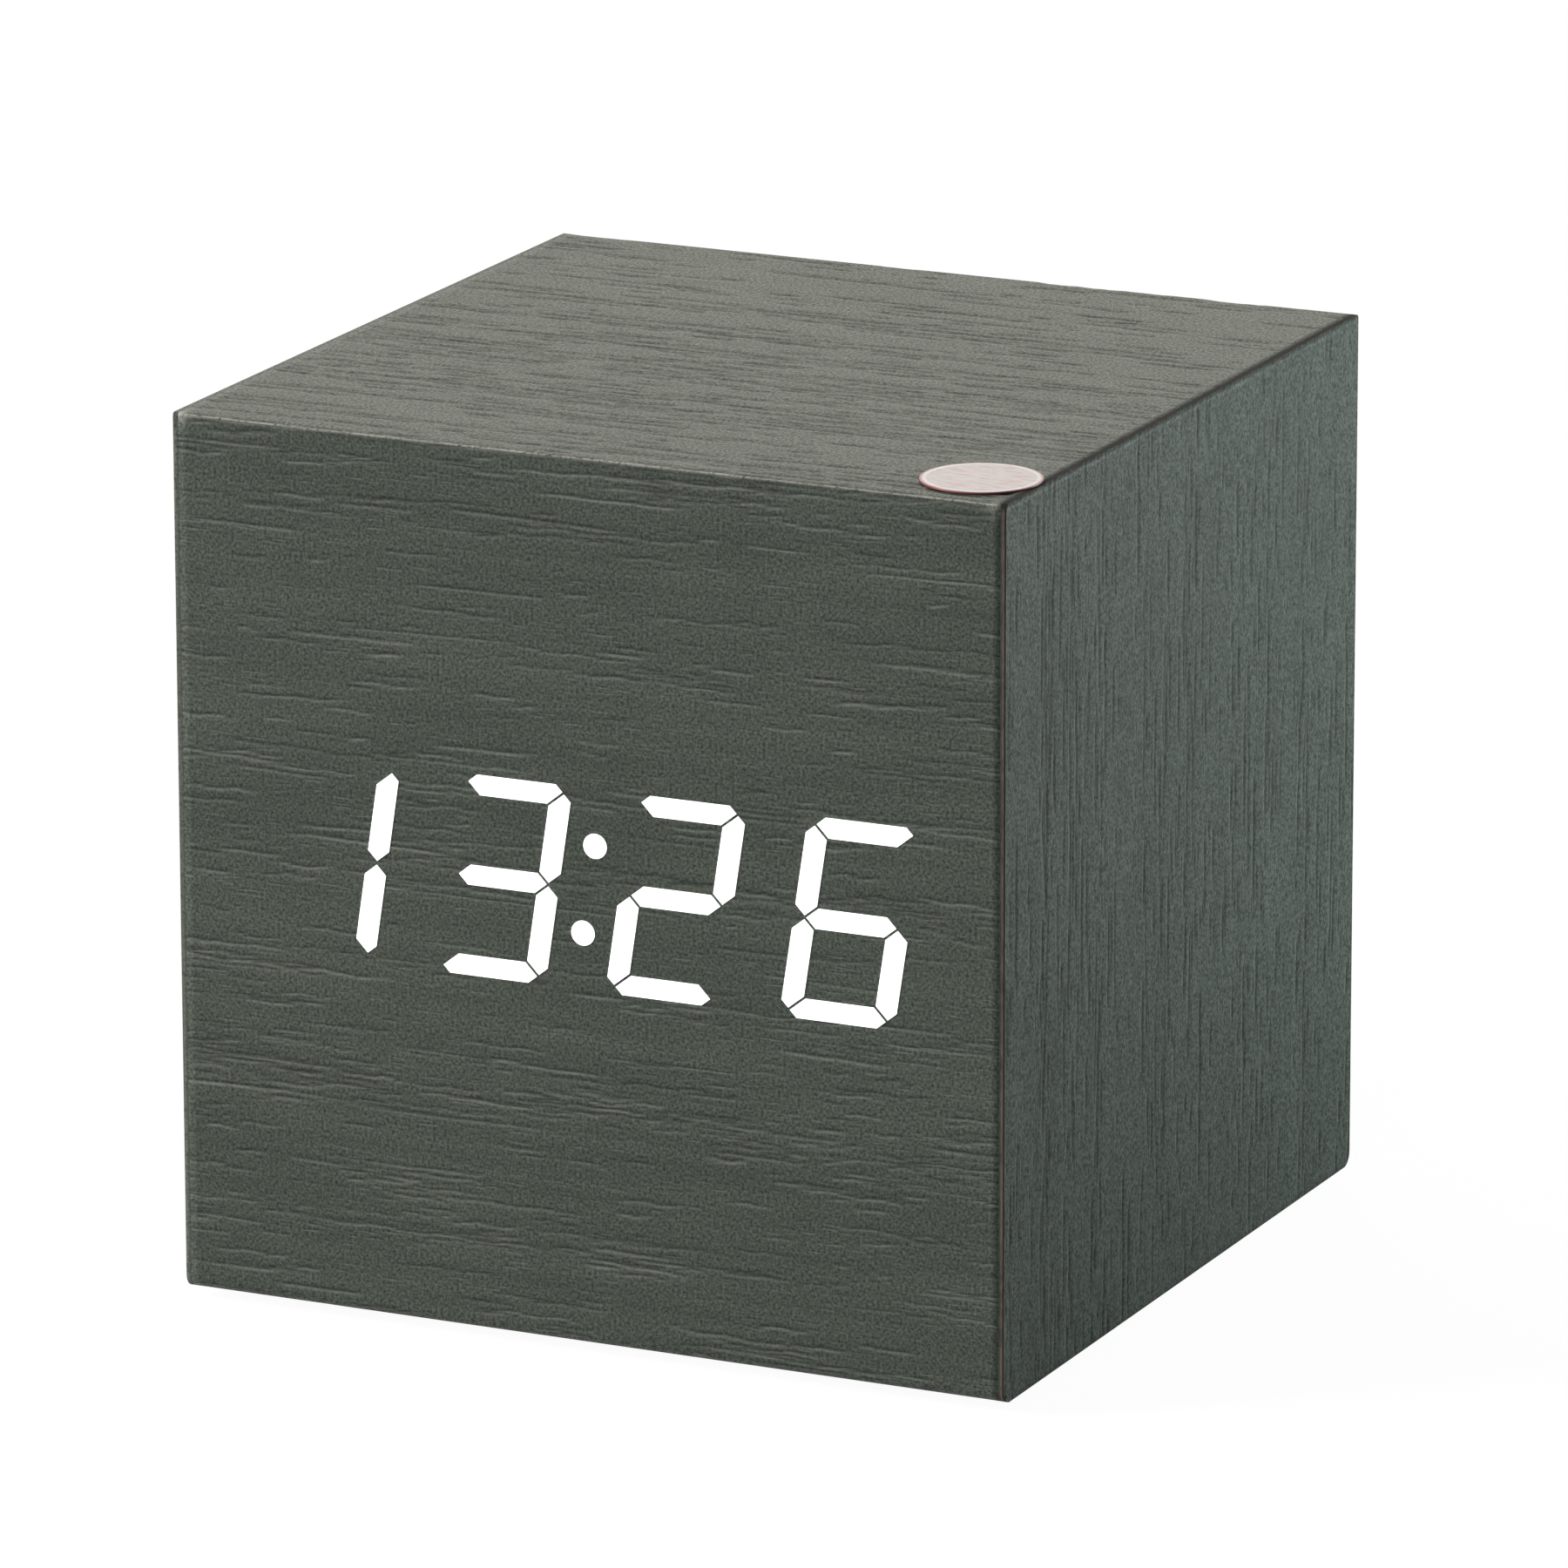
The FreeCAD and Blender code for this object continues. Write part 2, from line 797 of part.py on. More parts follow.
def segment_outline(letter):
    """One segment of a digit about the digit's centre, leaning to the right, as (x, z) points."""
    outline = level_bar(0)
    if letter in "AD":
        outline = level_bar(1)
    if letter in "BCEF":
        outline = upright_bar()
    x_way = -1 if letter in "EF" else 1
    z_way = -1 if letter in "CDE" else 1
    lean = math.tan(math.radians(slant))
    turned = [(x_way * x, z_way * z) for x, z in outline]
    return [(x + lean * z, z) for x, z in turned]


def digit_centres():
    """The x of the four digits' centres."""
    return [display_x + digit_pitch * (k - (digit_count - 1) / 2) for k in range(digit_count)]


def segment_bars(y0, y1, lit_only):
    """Prisms of the segments from y0 to y1: those that are lit, or all of them."""
    bars = []
    for x, figure in zip(digit_centres(), shown_time):
        for letter in "ABCDEFG":
            if lit_only and letter not in segments_of[figure]:
                continue
            outline = [(x + a, display_z + b) for a, b in segment_outline(letter)]
            bars.append(slab_y(y0, y1, outline))
    for rise in (dot_pitch / 2, -dot_pitch / 2):
        x = display_x + rise * math.tan(math.radians(slant))
        bars.append(rod(dot_d, V(x, y0, display_z + rise), V(x, y1, display_z + rise)))
    return bars


def make_lit_segments():
    """The light of the shown time on the face of the film."""
    return Part.makeCompound(segment_bars(front_y - lit_t, front_y, True))


def make_display_shell():
    """The black block with one light well for each segment and dot."""
    block = box(
        display_x - shell_w / 2, display_x + shell_w / 2,
        core_front, shell_rear,
        display_z - shell_h / 2, display_z + shell_h / 2,
    )
    return block.cut(segment_bars(core_front - cut_over, shell_rear + cut_over, False))


def make_segment_diffusers():
    """A milky window at the front of each light well."""
    return Part.makeCompound(segment_bars(core_front, core_front + diffuser_t, False))


def segment_centre(letter):
    """The middle of a segment about its digit's centre, as (x, z)."""
    outline = segment_outline(letter)
    count = len(outline)
    return sum(x for x, z in outline) / count, sum(z for x, z in outline) / count


def make_display_leds():
    """One small light for each segment and dot, on the display board."""
    places = []
    for x in digit_centres():
        for letter in "ABCDEFG":
            a, b = segment_centre(letter)
            places.append((x + a, display_z + b))
    for rise in (dot_pitch / 2, -dot_pitch / 2):
        places.append((display_x + rise * math.tan(math.radians(slant)), display_z + rise))
    half = led_side / 2
    leds = [box(x - half, x + half, shell_rear - led_h, shell_rear, z - half, z + half) for x, z in places]
    return Part.makeCompound(leds)


def display_screw_places():
    """The centres of the display's screws, as (x, z)."""
    xs = (display_x - display_screw_x, display_x + display_screw_x)
    zs = (display_z - display_screw_z, display_z + display_screw_z)
    return [(x, z) for x in xs for z in zs]


def display_slab(y0, y1):
    """A slab of the display board's outline, with the four screw holes."""
    slab = box(
        display_x - display_board_w / 2, display_x + display_board_w / 2, y0, y1,
        display_z - display_board_h / 2, display_z + display_board_h / 2,
    )
    hole_d = screw_shank_d + 2 * screw_gap
    holes = [rod(hole_d, V(x, y0 - cut_over, z), V(x, y1 + cut_over, z)) for x, z in display_screw_places()]
    return slab.cut(holes)


def make_display_board():
    """The circuit board that carries the lights."""
    return display_slab(shell_rear, display_board_rear)


def make_display_frame():
    """The ring that is glued behind the front board and takes the display's screws."""
    half_w = shell_w / 2 + window_gap
    half_h = shell_h / 2 + window_gap
    window = box(
        display_x - half_w, display_x + half_w,
        room_front - cut_over, shell_rear + cut_over,
        display_z - half_h, display_z + half_h,
    )
    return display_slab(room_front, shell_rear).cut(window)


def make_display_screws():
    """Four screws through the display board into its frame."""
    screws = []
    for x, z in display_screw_places():
        seat = V(x, display_board_rear, z)
        screws.append(small_screw(display_screw_shank, seat, V(0, -1, 0)))
    return Part.makeCompound(screws)


def make_display_ribbon():
    """The flat cable from the display board up to the main board."""
    start = V(0, display_board_rear, display_z + display_board_h / 2 - board_edge)
    end = V(0, main_face, main_z + main_h / 2 - board_edge)
    route = route_between(start, end, display_ribbon_shares)
    outline, radii = ribbon_outline([(point.y, point.z) for point in route], ribbon_t)
    return slab_x(-display_ribbon_w / 2, display_ribbon_w / 2, outline, radii)


# Rear plate and battery


def door_opening(y0, y1):
    """The clear space of the battery tray, from y0 to y1."""
    return box(-tray_x, tray_x, y0, y1, tray_low, tray_high)


def tab_slots():
    """Slots in the tray's floor for the two terminal tabs."""
    half = tab_w / 2 + tab_gap
    high = box(
        -cell_pitch - half, -cell_pitch + half, floor_front - cut_over, floor_rear + cut_over,
        tray_high - contact_t - tab_gap, tray_high,
    )
    low = box(
        cell_pitch - half, cell_pitch + half, floor_front - cut_over, floor_rear + cut_over,
        tray_low, tray_low + contact_t + tab_gap,
    )
    return [high, low]


def hook_slots():
    """Slots behind the plate's outer skin that hold the door's hooks."""
    slots = []
    hook_outer = door_inner + hook_t
    for x in (-hook_x, hook_x):
        half = hook_w / 2 + hook_gap
        low = tray_low + door_gap - hook_reach - hook_gap
        slots.append(box(
            x - half, x + half, door_inner - hook_swing, hook_outer + hook_gap, low, tray_low + cut_over,
        ))
    return slots


def cradles():
    """Two ribs across the tray's floor, hollowed to the cells."""
    ribs = []
    for z in (plate_z - cradle_reach, plate_z + cradle_reach):
        rib = box(-tray_x, tray_x, floor_rear, cradle_top, z - cradle_t / 2, z + cradle_t / 2)
        for x in (-cell_pitch, 0, cell_pitch):
            low = V(x, cell_y, z - cradle_t)
            high = V(x, cell_y, z + cradle_t)
            rib = rib.cut(rod(cell_d + 2 * cradle_gap, low, high))
        ribs.append(rib)
    return ribs


def make_rear_plate():
    """The rear plate with its battery tray, posts, bosses and ribs."""
    outline = rectangle(-plate_x, plate_x, plate_low, plate_high)
    plate = slab_y(plate_inner, plate_outer, outline, [plate_corner_r] * len(outline))
    outer_x = tray_x + tray_wall
    tray = box(-outer_x, outer_x, floor_front, plate_inner, tray_low - tray_wall, tray_high + tray_wall)
    posts = []
    for x in (-post_x, post_x):
        for z in (main_z - post_z, main_z + post_z):
            posts.append(rod(post_d, V(x, post_face, z), V(x, floor_front, z)))
    for z in boss_z:
        posts.append(rod(boss_d, V(-strip_x, button_board_rear, z), V(-strip_x, plate_inner, z)))
    for z in (jack_z + jack_side / 2 + rib_gap, jack_z - jack_side / 2 - rib_gap - rib_t):
        half = jack_side / 2
        posts.append(box(strip_x - half, strip_x + half, plate_inner - rib_l, plate_inner, z, z + rib_t))
    whole = joined([plate, tray] + posts)
    whole = whole.cut([door_opening(floor_rear, plate_outer + cut_over)])
    ledges = []
    for x0, x1 in ((-tray_x, ledge_side - tray_x), (tray_x - ledge_side, tray_x)):
        ledge_top = door_inner - ledge_seat
        ledges.append(box(
            x0, x1, ledge_top - ledge_side, ledge_top, tray_low + ledge_end, tray_high - ledge_end,
        ))
    whole = joined([whole] + ledges + cradles())
    cuts = tab_slots() + hook_slots()
    pilot_d = screw_shank_d + 2 * screw_gap
    for x in (-post_x, post_x):
        for z in (main_z - post_z, main_z + post_z):
            cuts.append(rod(pilot_d, V(x, post_face - cut_over, z), V(x, floor_front, z)))
    for z in boss_z:
        cuts.append(rod(pilot_d, V(-strip_x, button_board_rear - cut_over, z), V(-strip_x, plate_inner, z)))
    for z in button_z:
        low = V(-strip_x, plate_inner - cut_over, z)
        cuts.append(rod(cap_d + 2 * cap_gap, low, V(-strip_x, plate_outer + cut_over, z)))
    mic_inner = V(-strip_x, plate_inner - cut_over, mic_z)
    cuts.append(rod(mic_hole_d, mic_inner, V(-strip_x, plate_outer + cut_over, mic_z)))
    jack_inner = V(strip_x, plate_inner - cut_over, jack_z)
    cuts.append(rod(jack_nose_d + 2 * jack_gap, jack_inner, V(strip_x, plate_outer + cut_over, jack_z)))
    for x, z in block_places():
        shank_d = rear_screw_shank_d + 2 * screw_gap
        cuts.append(rod(shank_d, V(x, plate_inner - cut_over, z), V(x, plate_outer + cut_over, z)))
        head_seat = V(x, plate_outer - rear_screw_head_h, z)
        cuts.append(rod(rear_screw_head_d + 2 * head_gap, head_seat, V(x, plate_outer + cut_over, z)))
    return whole.cut(cuts)


def make_rear_screws():
    """Four screws that hold the rear plate to the corner blocks."""
    screws = []
    for x, z in block_places():
        seat = V(x, plate_outer - rear_screw_head_h, z)
        body = screw(
            rear_screw_head_d, rear_screw_head_h, rear_screw_shank_d,
            rear_screw_shank_l, seat, V(0, -1, 0),
        )
        screws.append(body)
    return Part.makeCompound(screws)


def cell_rows():
    """For each cell: its x, and 1 where its positive end is up or -1 where it is down."""
    return [(-cell_pitch, 1), (0, -1), (cell_pitch, 1)]


def make_battery_cells():
    """Three cells whose positive ends alternate."""
    cells = []
    for x, way in cell_rows():
        start_z = tray_low + contact_t + spring_l if way > 0 else tray_high - contact_t - spring_l
        start = V(x, cell_y, start_z)
        can_end = start + V(0, 0, way * (cell_l - cell_nub_h))
        can = rod(cell_d, start, can_end)
        rims = [edge for edge in can.Edges if isinstance(edge.Curve, Part.Circle)]
        can = can.makeFillet(cell_edge_r, rims)
        nub = rod(cell_nub_d, can_end, start + V(0, 0, way * cell_l))
        cells.append(can.fuse(nub))
    return Part.makeCompound(cells)


def make_battery_springs():
    """A conical spring at each cell's negative end."""
    springs = []
    for x, way in cell_rows():
        seat_z = tray_low + contact_t if way > 0 else tray_high - contact_t
        springs.append(conical_spring(V(x, cell_y, seat_z), way))
    return Part.makeCompound(springs)


def contact_plate(x0, x1, at_top):
    """A contact plate against the tray's upper or lower wall."""
    z0 = tray_high - contact_t if at_top else tray_low
    return box(x0, x1, cell_y - contact_h / 2, cell_y + contact_h / 2, z0, z0 + contact_t)


def make_terminal_plates():
    """The pack's two end contacts, with a tab through the tray's floor."""
    plates = []
    for x, at_top in ((-cell_pitch, True), (cell_pitch, False)):
        plate = contact_plate(x - contact_w / 2, x + contact_w / 2, at_top)
        z0 = tray_high - contact_t if at_top else tray_low
        tab = box(x - tab_w / 2, x + tab_w / 2, floor_front - tab_out, cell_y, z0, z0 + contact_t)
        plates.append(joined([plate, tab]))
    return Part.makeCompound(plates)


def make_bridge_plates():
    """The two contacts that join neighbouring cells."""
    low = contact_plate(-cell_pitch - contact_w / 2, contact_w / 2, False)
    high = contact_plate(-contact_w / 2, cell_pitch + contact_w / 2, True)
    return Part.makeCompound([low, high])


def make_battery_leads():
    """Two leads from the terminal tabs to the main board."""
    y = floor_front - tab_out / 2
    high_z = main_z + main_h / 2 - board_edge
    low_z = main_z - main_h / 2 + board_edge
    upper = (V(-cell_pitch, y, tray_high - contact_t), V(-cell_pitch, post_face, high_z))
    lower = (V(cell_pitch, y, tray_low + contact_t), V(cell_pitch, post_face, low_z))
    bodies = []
    for start, end in (upper, lower):
        route = route_between(start, end, battery_lead_shares)
        bodies.append(lead(route, battery_lead_d, "battery_lead"))
    return Part.makeCompound(bodies)


def make_battery_door():
    """The door over the cells, with two hooks below and a springy tongue above."""
    half = tray_x - door_gap
    low = tray_low + door_gap
    high = tray_high - door_gap
    door = box(-half, half, door_inner, plate_outer, low, high)
    slots = []
    for x in (-latch_w / 2 - latch_slot, latch_w / 2):
        slots.append(box(
            x, x + latch_slot, door_inner - cut_over, plate_outer + cut_over,
            high - latch_l, high + cut_over,
        ))
    door = door.cut(slots)
    extras = []
    for x in (-hook_x, hook_x):
        extras.append(box(
            x - hook_w / 2, x + hook_w / 2, door_inner, door_inner + hook_t,
            low - hook_reach, low + hook_reach,
        ))
    for k in range(ridge_count):
        z = high - ridge_margin - k * ridge_pitch
        side = latch_w / 2 - ridge_margin
        extras.append(box(-side, side, plate_outer, plate_outer + ridge_h, z - ridge_w, z))
    return joined([door] + extras)


# Buttons, microphone and jack


def make_button(z):
    """A button cap whose flange is caught behind the rear plate, with a short stem."""
    flange = rod(flange_d, V(-strip_x, flange_front, z), V(-strip_x, flange_rear, z))
    cap_end = plate_outer + cap_rise
    cap = rod(cap_d, V(-strip_x, flange_front, z), V(-strip_x, cap_end, z))
    rim = [edge for edge in cap.Edges if abs(edge.CenterOfMass.y - cap_end) < cap_edge_r]
    cap = cap.makeFillet(cap_edge_r, rim)
    stem_end = switch_rear - well_depth + button_travel + screw_gap + plunger_l
    stem = rod(stem_d, V(-strip_x, stem_end, z), V(-strip_x, flange_rear, z))
    return joined([flange, cap, stem])


def make_plunger(z):
    """The button of a switch, which the cap pushes in."""
    low = switch_rear - well_depth + button_travel + screw_gap
    return rod(plunger_d, V(-strip_x, low, z), V(-strip_x, low + plunger_l, z))


def make_button_switches():
    """Three switch bodies, each with a well for its plunger."""
    bodies = []
    half = switch_side / 2
    for z in button_z:
        body = box(-strip_x - half, -strip_x + half, button_board_rear, switch_rear, z - half, z + half)
        well_floor = V(-strip_x, switch_rear - well_depth, z)
        well = rod(plunger_d + 2 * well_gap, well_floor, V(-strip_x, plate_inner, z))
        bodies.append(body.cut(well))
    return Part.makeCompound(bodies)


def make_button_board():
    """The small board behind the buttons."""
    half = button_board_w / 2
    board = box(
        -strip_x - half, -strip_x + half, button_board_front, button_board_rear,
        button_board_low, button_board_top,
    )
    hole_d = screw_shank_d + 2 * screw_gap
    over_front = button_board_front - cut_over
    over_rear = button_board_rear + cut_over
    holes = [rod(hole_d, V(-strip_x, over_front, z), V(-strip_x, over_rear, z)) for z in boss_z]
    return board.cut(holes)


def make_board_screws():
    """The screws of the main board and of the button board."""
    screws = []
    for x in (-post_x, post_x):
        for z in (main_z - post_z, main_z + post_z):
            seat = V(x, main_face, z)
            screws.append(small_screw(main_screw_shank, seat, V(0, 1, 0)))
    for z in boss_z:
        seat = V(-strip_x, button_board_front, z)
        screws.append(small_screw(main_screw_shank, seat, V(0, 1, 0)))
    return Part.makeCompound(screws)


def make_button_ribbon():
    """The flat cable from the button board to the main board's edge."""
    start = V(-strip_x, button_board_front, 0)
    end = V(-main_w / 2 + lead_inset, post_face, 0)
    route = route_between(start, end, button_ribbon_shares)
    outline, radii = ribbon_outline([(point.x, point.y) for point in route], ribbon_t)
    return slab_z(main_z - button_ribbon_w / 2, main_z + button_ribbon_w / 2, outline, radii)


def make_microphone():
    """The microphone capsule behind its hole."""
    return rod(mic_d, V(-strip_x, button_board_rear, mic_z), V(-strip_x, plate_inner - mic_gap, mic_z))


def make_jack_body():
    """The power jack's moulding, whose nose stands in the rear plate."""
    half = jack_side / 2
    block = box(strip_x - half, strip_x + half, jack_front, plate_inner, jack_z - half, jack_z + half)
    nose = rod(jack_nose_d, V(strip_x, jack_front, jack_z), V(strip_x, jack_nose_end, jack_z))
    bore_floor = V(strip_x, jack_nose_end - jack_depth, jack_z)
    sleeve_end = V(strip_x, jack_nose_end - jack_depth + jack_sleeve_l, jack_z)
    bore = rod(jack_bore_d, bore_floor, V(strip_x, jack_nose_end + cut_over, jack_z))
    sleeve_room = rod(jack_bore_d + 2 * jack_sleeve_t, bore_floor, sleeve_end)
    return joined([block, nose]).cut([bore, sleeve_room])


def make_jack_barrel():
    """The jack's outer contact sleeve."""
    start = V(strip_x, jack_nose_end - jack_depth, jack_z)
    end = start + V(0, jack_sleeve_l, 0)
    sleeve = rod(jack_bore_d + 2 * jack_sleeve_t, start, end)
    return sleeve.cut(rod(jack_bore_d, start - V(0, cut_over, 0), end + V(0, cut_over, 0)))


def make_jack_pin():
    """The jack's centre pin."""
    start = V(strip_x, jack_nose_end - jack_depth, jack_z)
    return rod(jack_pin_d, start, V(strip_x, jack_nose_end - jack_pin_back, jack_z))


def make_jack_leads():
    """Two leads from the jack to the main board's edge."""
    bodies = []
    for z in (jack_z - jack_lead_pitch / 2, jack_z + jack_lead_pitch / 2):
        start = V(strip_x, jack_front, z)
        end = V(main_w / 2 - lead_inset, post_face, z)
        bodies.append(lead(route_between(start, end, jack_lead_shares), lead_d, "jack_lead"))
    return Part.makeCompound(bodies)


# Main board


def main_place(shares, depth=0):
    """A point on the main board's front, or at a depth in front of it, from its shares."""
    share_x, share_z = shares
    return V(share_x * main_w / 2, main_face - depth, main_z + share_z * main_h / 2)


def on_main(shares, size_shares, depth):
    """A block on the main board's front, centred at the shares, with its sides as shares of the board's."""
    middle = main_place(shares, depth)
    width = size_shares[0] * main_w
    height = size_shares[1] * main_h
    return Part.makeBox(width, depth, height, middle - V(width / 2, 0, height / 2))


def make_main_board():
    """The main circuit board, on posts in front of the battery tray."""
    board = box(-main_w / 2, main_w / 2, main_face, post_face, main_z - main_h / 2, main_z + main_h / 2)
    holes = []
    for x in (-post_x, post_x):
        for z in (main_z - post_z, main_z + post_z):
            start = V(x, main_face - cut_over, z)
            holes.append(rod(screw_shank_d + 2 * screw_gap, start, V(x, post_face + cut_over, z)))
    return board.cut(holes)


def make_clock_chip():
    """The clock's controller."""
    return on_main(clock_chip_shares, clock_chip_size_shares, chip_t)


def make_voice_chip():
    """The memory and amplifier of the spoken time."""
    return on_main(voice_chip_shares, voice_chip_size_shares, chip_t)


def make_coin_holder():
    """The cup that holds the coin cell."""
    height = holder_floor + coin_t + holder_lip
    bore_d = coin_d + 2 * coin_gap
    cup = rod(bore_d + 2 * holder_wall, main_place(holder_shares), main_place(holder_shares, height))
    bore_end = main_place(holder_shares, height + cut_over)
    return cup.cut(rod(bore_d, main_place(holder_shares, holder_floor), bore_end))


def make_coin_cell():
    """The coin cell that keeps the time without power."""
    front = main_place(holder_shares, holder_floor + coin_t)
    return rod(coin_d, main_place(holder_shares, holder_floor), front)


def make_crystal():
    """The quartz crystal's can, lying on the board."""
    middle = main_place(crystal_shares, crystal_d / 2)
    half = V(crystal_l / 2, 0, 0)
    return rod(crystal_d, middle - half, middle + half)


def make_capacitors():
    """Two standing capacitors."""
    bodies = []
    for shares in capacitor_shares:
        bodies.append(rod(capacitor_d, main_place(shares), main_place(shares, capacitor_l)))
    return Part.makeCompound(bodies)


def make_chip_parts():
    """Small parts soldered to the main board."""
    chips = [on_main(shares, small_chip_size_shares, small_chip_t) for shares in small_chip_shares]
    return Part.makeCompound(chips)


# Speaker


def make_speaker_gasket():
    """The soft ring between the speaker and the base board."""
    outer = speaker_d / 2
    inner = outer - gasket_w
    outline = [(inner, room_base), (outer, room_base), (outer, gasket_top), (inner, gasket_top)]
    return turned_z(outline, V(0, speaker_y, 0))


def make_speaker_frame():
    """The speaker's pressed basket: a rim, a sloping wall and a back plate."""
    outer = speaker_d / 2
    rim_inner = outer - gasket_w - frame_t
    outline = [
        (outer, gasket_top), (outer, rim_top), (rim_inner + frame_t, rim_top),
        (back_d / 2, back_top), (0, back_top), (0, back_low),
        (back_d / 2 - frame_t, back_low), (rim_inner, rim_top - frame_t),
    ]
    return turned_z(outline, V(0, speaker_y, 0))


def make_speaker_cone():
    """The paper cone with its dome."""
    outer = speaker_d / 2 - gasket_w - frame_t - cone_gap
    neck = coil_d / 2
    low = gasket_top
    neck_top = back_low - cone_gap
    outline = [
        (outer, low), (outer, low + cone_t), (neck, neck_top), (0, neck_top),
        (0, neck_top - cone_t - dome_h), (neck, neck_top - cone_t),
    ]
    return turned_z(outline, V(0, speaker_y, 0))


def make_speaker_magnet():
    """The magnet and its yoke behind the basket."""
    magnet = rod(magnet_d, V(0, speaker_y, back_top), V(0, speaker_y, back_top + magnet_h))
    yoke = rod(yoke_d, V(0, speaker_y, back_top), V(0, speaker_y, back_top + magnet_h + yoke_h))
    return joined([magnet, yoke])


def speaker_tab_front():
    """The y of the solder strip's front edge, just clear of the magnet."""
    return speaker_y + magnet_d / 2 + cone_gap


def make_speaker_tabs():
    """The solder strip on the basket's back."""
    y0 = speaker_tab_front()
    return box(
        -speaker_tab_w / 2, speaker_tab_w / 2, y0, y0 + speaker_tab_l, back_top, back_top + speaker_tab_t,
    )


def make_speaker_leads():
    """Two leads from the speaker up to the main board."""
    bodies = []
    y = speaker_tab_front() + speaker_tab_l / 2
    z = main_z - main_h / 2 + board_edge
    for way in (-1, 1):
        start = V(way * speaker_lead_pitch / 2, y, back_top + speaker_tab_t)
        end = V(way * (speaker_lead_pitch / 2 - lead_d / 2), main_face, z)
        bodies.append(lead(route_between(start, end, speaker_lead_shares), lead_d, "speaker_lead"))
    return Part.makeCompound(bodies)


nodes = {
    "wrap_veneer": make_wrap_veneer(),
    "left_veneer": make_side_veneer(-1),
    "right_veneer": make_side_veneer(1),
    "bottom_board": make_bottom_board(),
    "front_board": make_front_board(),
    "top_board": make_top_board(),
    "left_board": make_side_board(-1),
    "right_board": make_side_board(1),
    "corner_blocks": make_corner_blocks(),
    "feet": make_feet(),
    "talk_pad": make_talk_pad(),
    "touch_foil": make_touch_foil(),
    "touch_lead": make_touch_lead(),
    "lit_segments": make_lit_segments(),
    "display_shell": make_display_shell(),
    "segment_diffusers": make_segment_diffusers(),
    "display_leds": make_display_leds(),
    "display_board": make_display_board(),
    "display_frame": make_display_frame(),
    "display_screws": make_display_screws(),
    "display_ribbon": make_display_ribbon(),
    "rear_plate": make_rear_plate(),
    "rear_screws": make_rear_screws(),
    "battery_cells": make_battery_cells(),
    "battery_springs": make_battery_springs(),
    "terminal_plates": make_terminal_plates(),
    "bridge_plates": make_bridge_plates(),
    "battery_leads": make_battery_leads(),
    "battery_door": make_battery_door(),
    "set_button": make_button(button_z[0]),
    "up_button": make_button(button_z[1]),
    "down_button": make_button(button_z[2]),
    "set_plunger": make_plunger(button_z[0]),
    "up_plunger": make_plunger(button_z[1]),
    "down_plunger": make_plunger(button_z[2]),
    "button_switches": make_button_switches(),
    "button_board": make_button_board(),
    "board_screws": make_board_screws(),
    "button_ribbon": make_button_ribbon(),
    "microphone": make_microphone(),
    "jack_body": make_jack_body(),
    "jack_barrel": make_jack_barrel(),
    "jack_pin": make_jack_pin(),
    "jack_leads": make_jack_leads(),
    "main_board": make_main_board(),
    "clock_chip": make_clock_chip(),
    "voice_chip": make_voice_chip(),
    "coin_holder": make_coin_holder(),
    "coin_cell": make_coin_cell(),
    "crystal": make_crystal(),
    "capacitors": make_capacitors(),
    "chip_parts": make_chip_parts(),
    "speaker_gasket": make_speaker_gasket(),
    "speaker_frame": make_speaker_frame(),
    "speaker_cone": make_speaker_cone(),
    "speaker_magnet": make_speaker_magnet(),
    "speaker_tabs": make_speaker_tabs(),
    "speaker_leads": make_speaker_leads(),
}

os.makedirs("parts", exist_ok=True)
for name, shape in nodes.items():
    shape.exportStep("parts/" + name + ".step")
    print(name, len(shape.Solids), "solids", round(shape.Volume, 2), "valid", shape.isValid())
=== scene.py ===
"""The looks of a small cube clock: white figures shining through a wood-grain film.

X runs across the front to the right, Y from the front to the rear, Z up. The sizes in the classes
below are millimetres, and every mesh is written in metres. The CAD parts stay where they are.
"""

import json
import logging
import math
from abc import ABC, abstractmethod
from dataclasses import dataclass, replace
from enum import Enum

import bmesh
import bpy
import numpy as np
from mathutils import Matrix, Vector


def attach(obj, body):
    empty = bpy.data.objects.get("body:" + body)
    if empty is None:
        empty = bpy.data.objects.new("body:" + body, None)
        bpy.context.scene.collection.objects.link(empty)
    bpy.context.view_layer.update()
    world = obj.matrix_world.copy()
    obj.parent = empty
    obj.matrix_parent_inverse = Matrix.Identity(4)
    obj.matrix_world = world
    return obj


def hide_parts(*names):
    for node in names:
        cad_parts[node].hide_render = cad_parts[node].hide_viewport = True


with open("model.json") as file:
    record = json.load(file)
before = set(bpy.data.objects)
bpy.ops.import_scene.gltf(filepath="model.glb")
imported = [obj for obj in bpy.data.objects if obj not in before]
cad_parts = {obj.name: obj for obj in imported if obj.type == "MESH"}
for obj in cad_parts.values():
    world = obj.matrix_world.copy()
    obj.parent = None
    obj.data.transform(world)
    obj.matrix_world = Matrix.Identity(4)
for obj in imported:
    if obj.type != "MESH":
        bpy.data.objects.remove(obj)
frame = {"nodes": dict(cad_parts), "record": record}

log = logging.getLogger("clock")

MM = 0.001
MERGE_DISTANCE = 1e-7
WHITE = (1.0, 1.0, 1.0)
FILM_VALUES = ("groove_and_shade", "lip_and_highlight", "wear_and_highlight", "streak")

Array = np.ndarray
Fields = dict[str, np.ndarray]
Mesh = bpy.types.Mesh
Tree = bpy.types.NodeTree
Socket = bpy.types.NodeSocket
Material = bpy.types.Material
Pair = tuple[float, float]
Triple = tuple[float, float, float]


class Body(str, Enum):
    """The bodies that pieces ride on."""

    CASING = "casing"
    SET_KEY = "set_key"
    UP_KEY = "up_key"
    DOWN_KEY = "down_key"


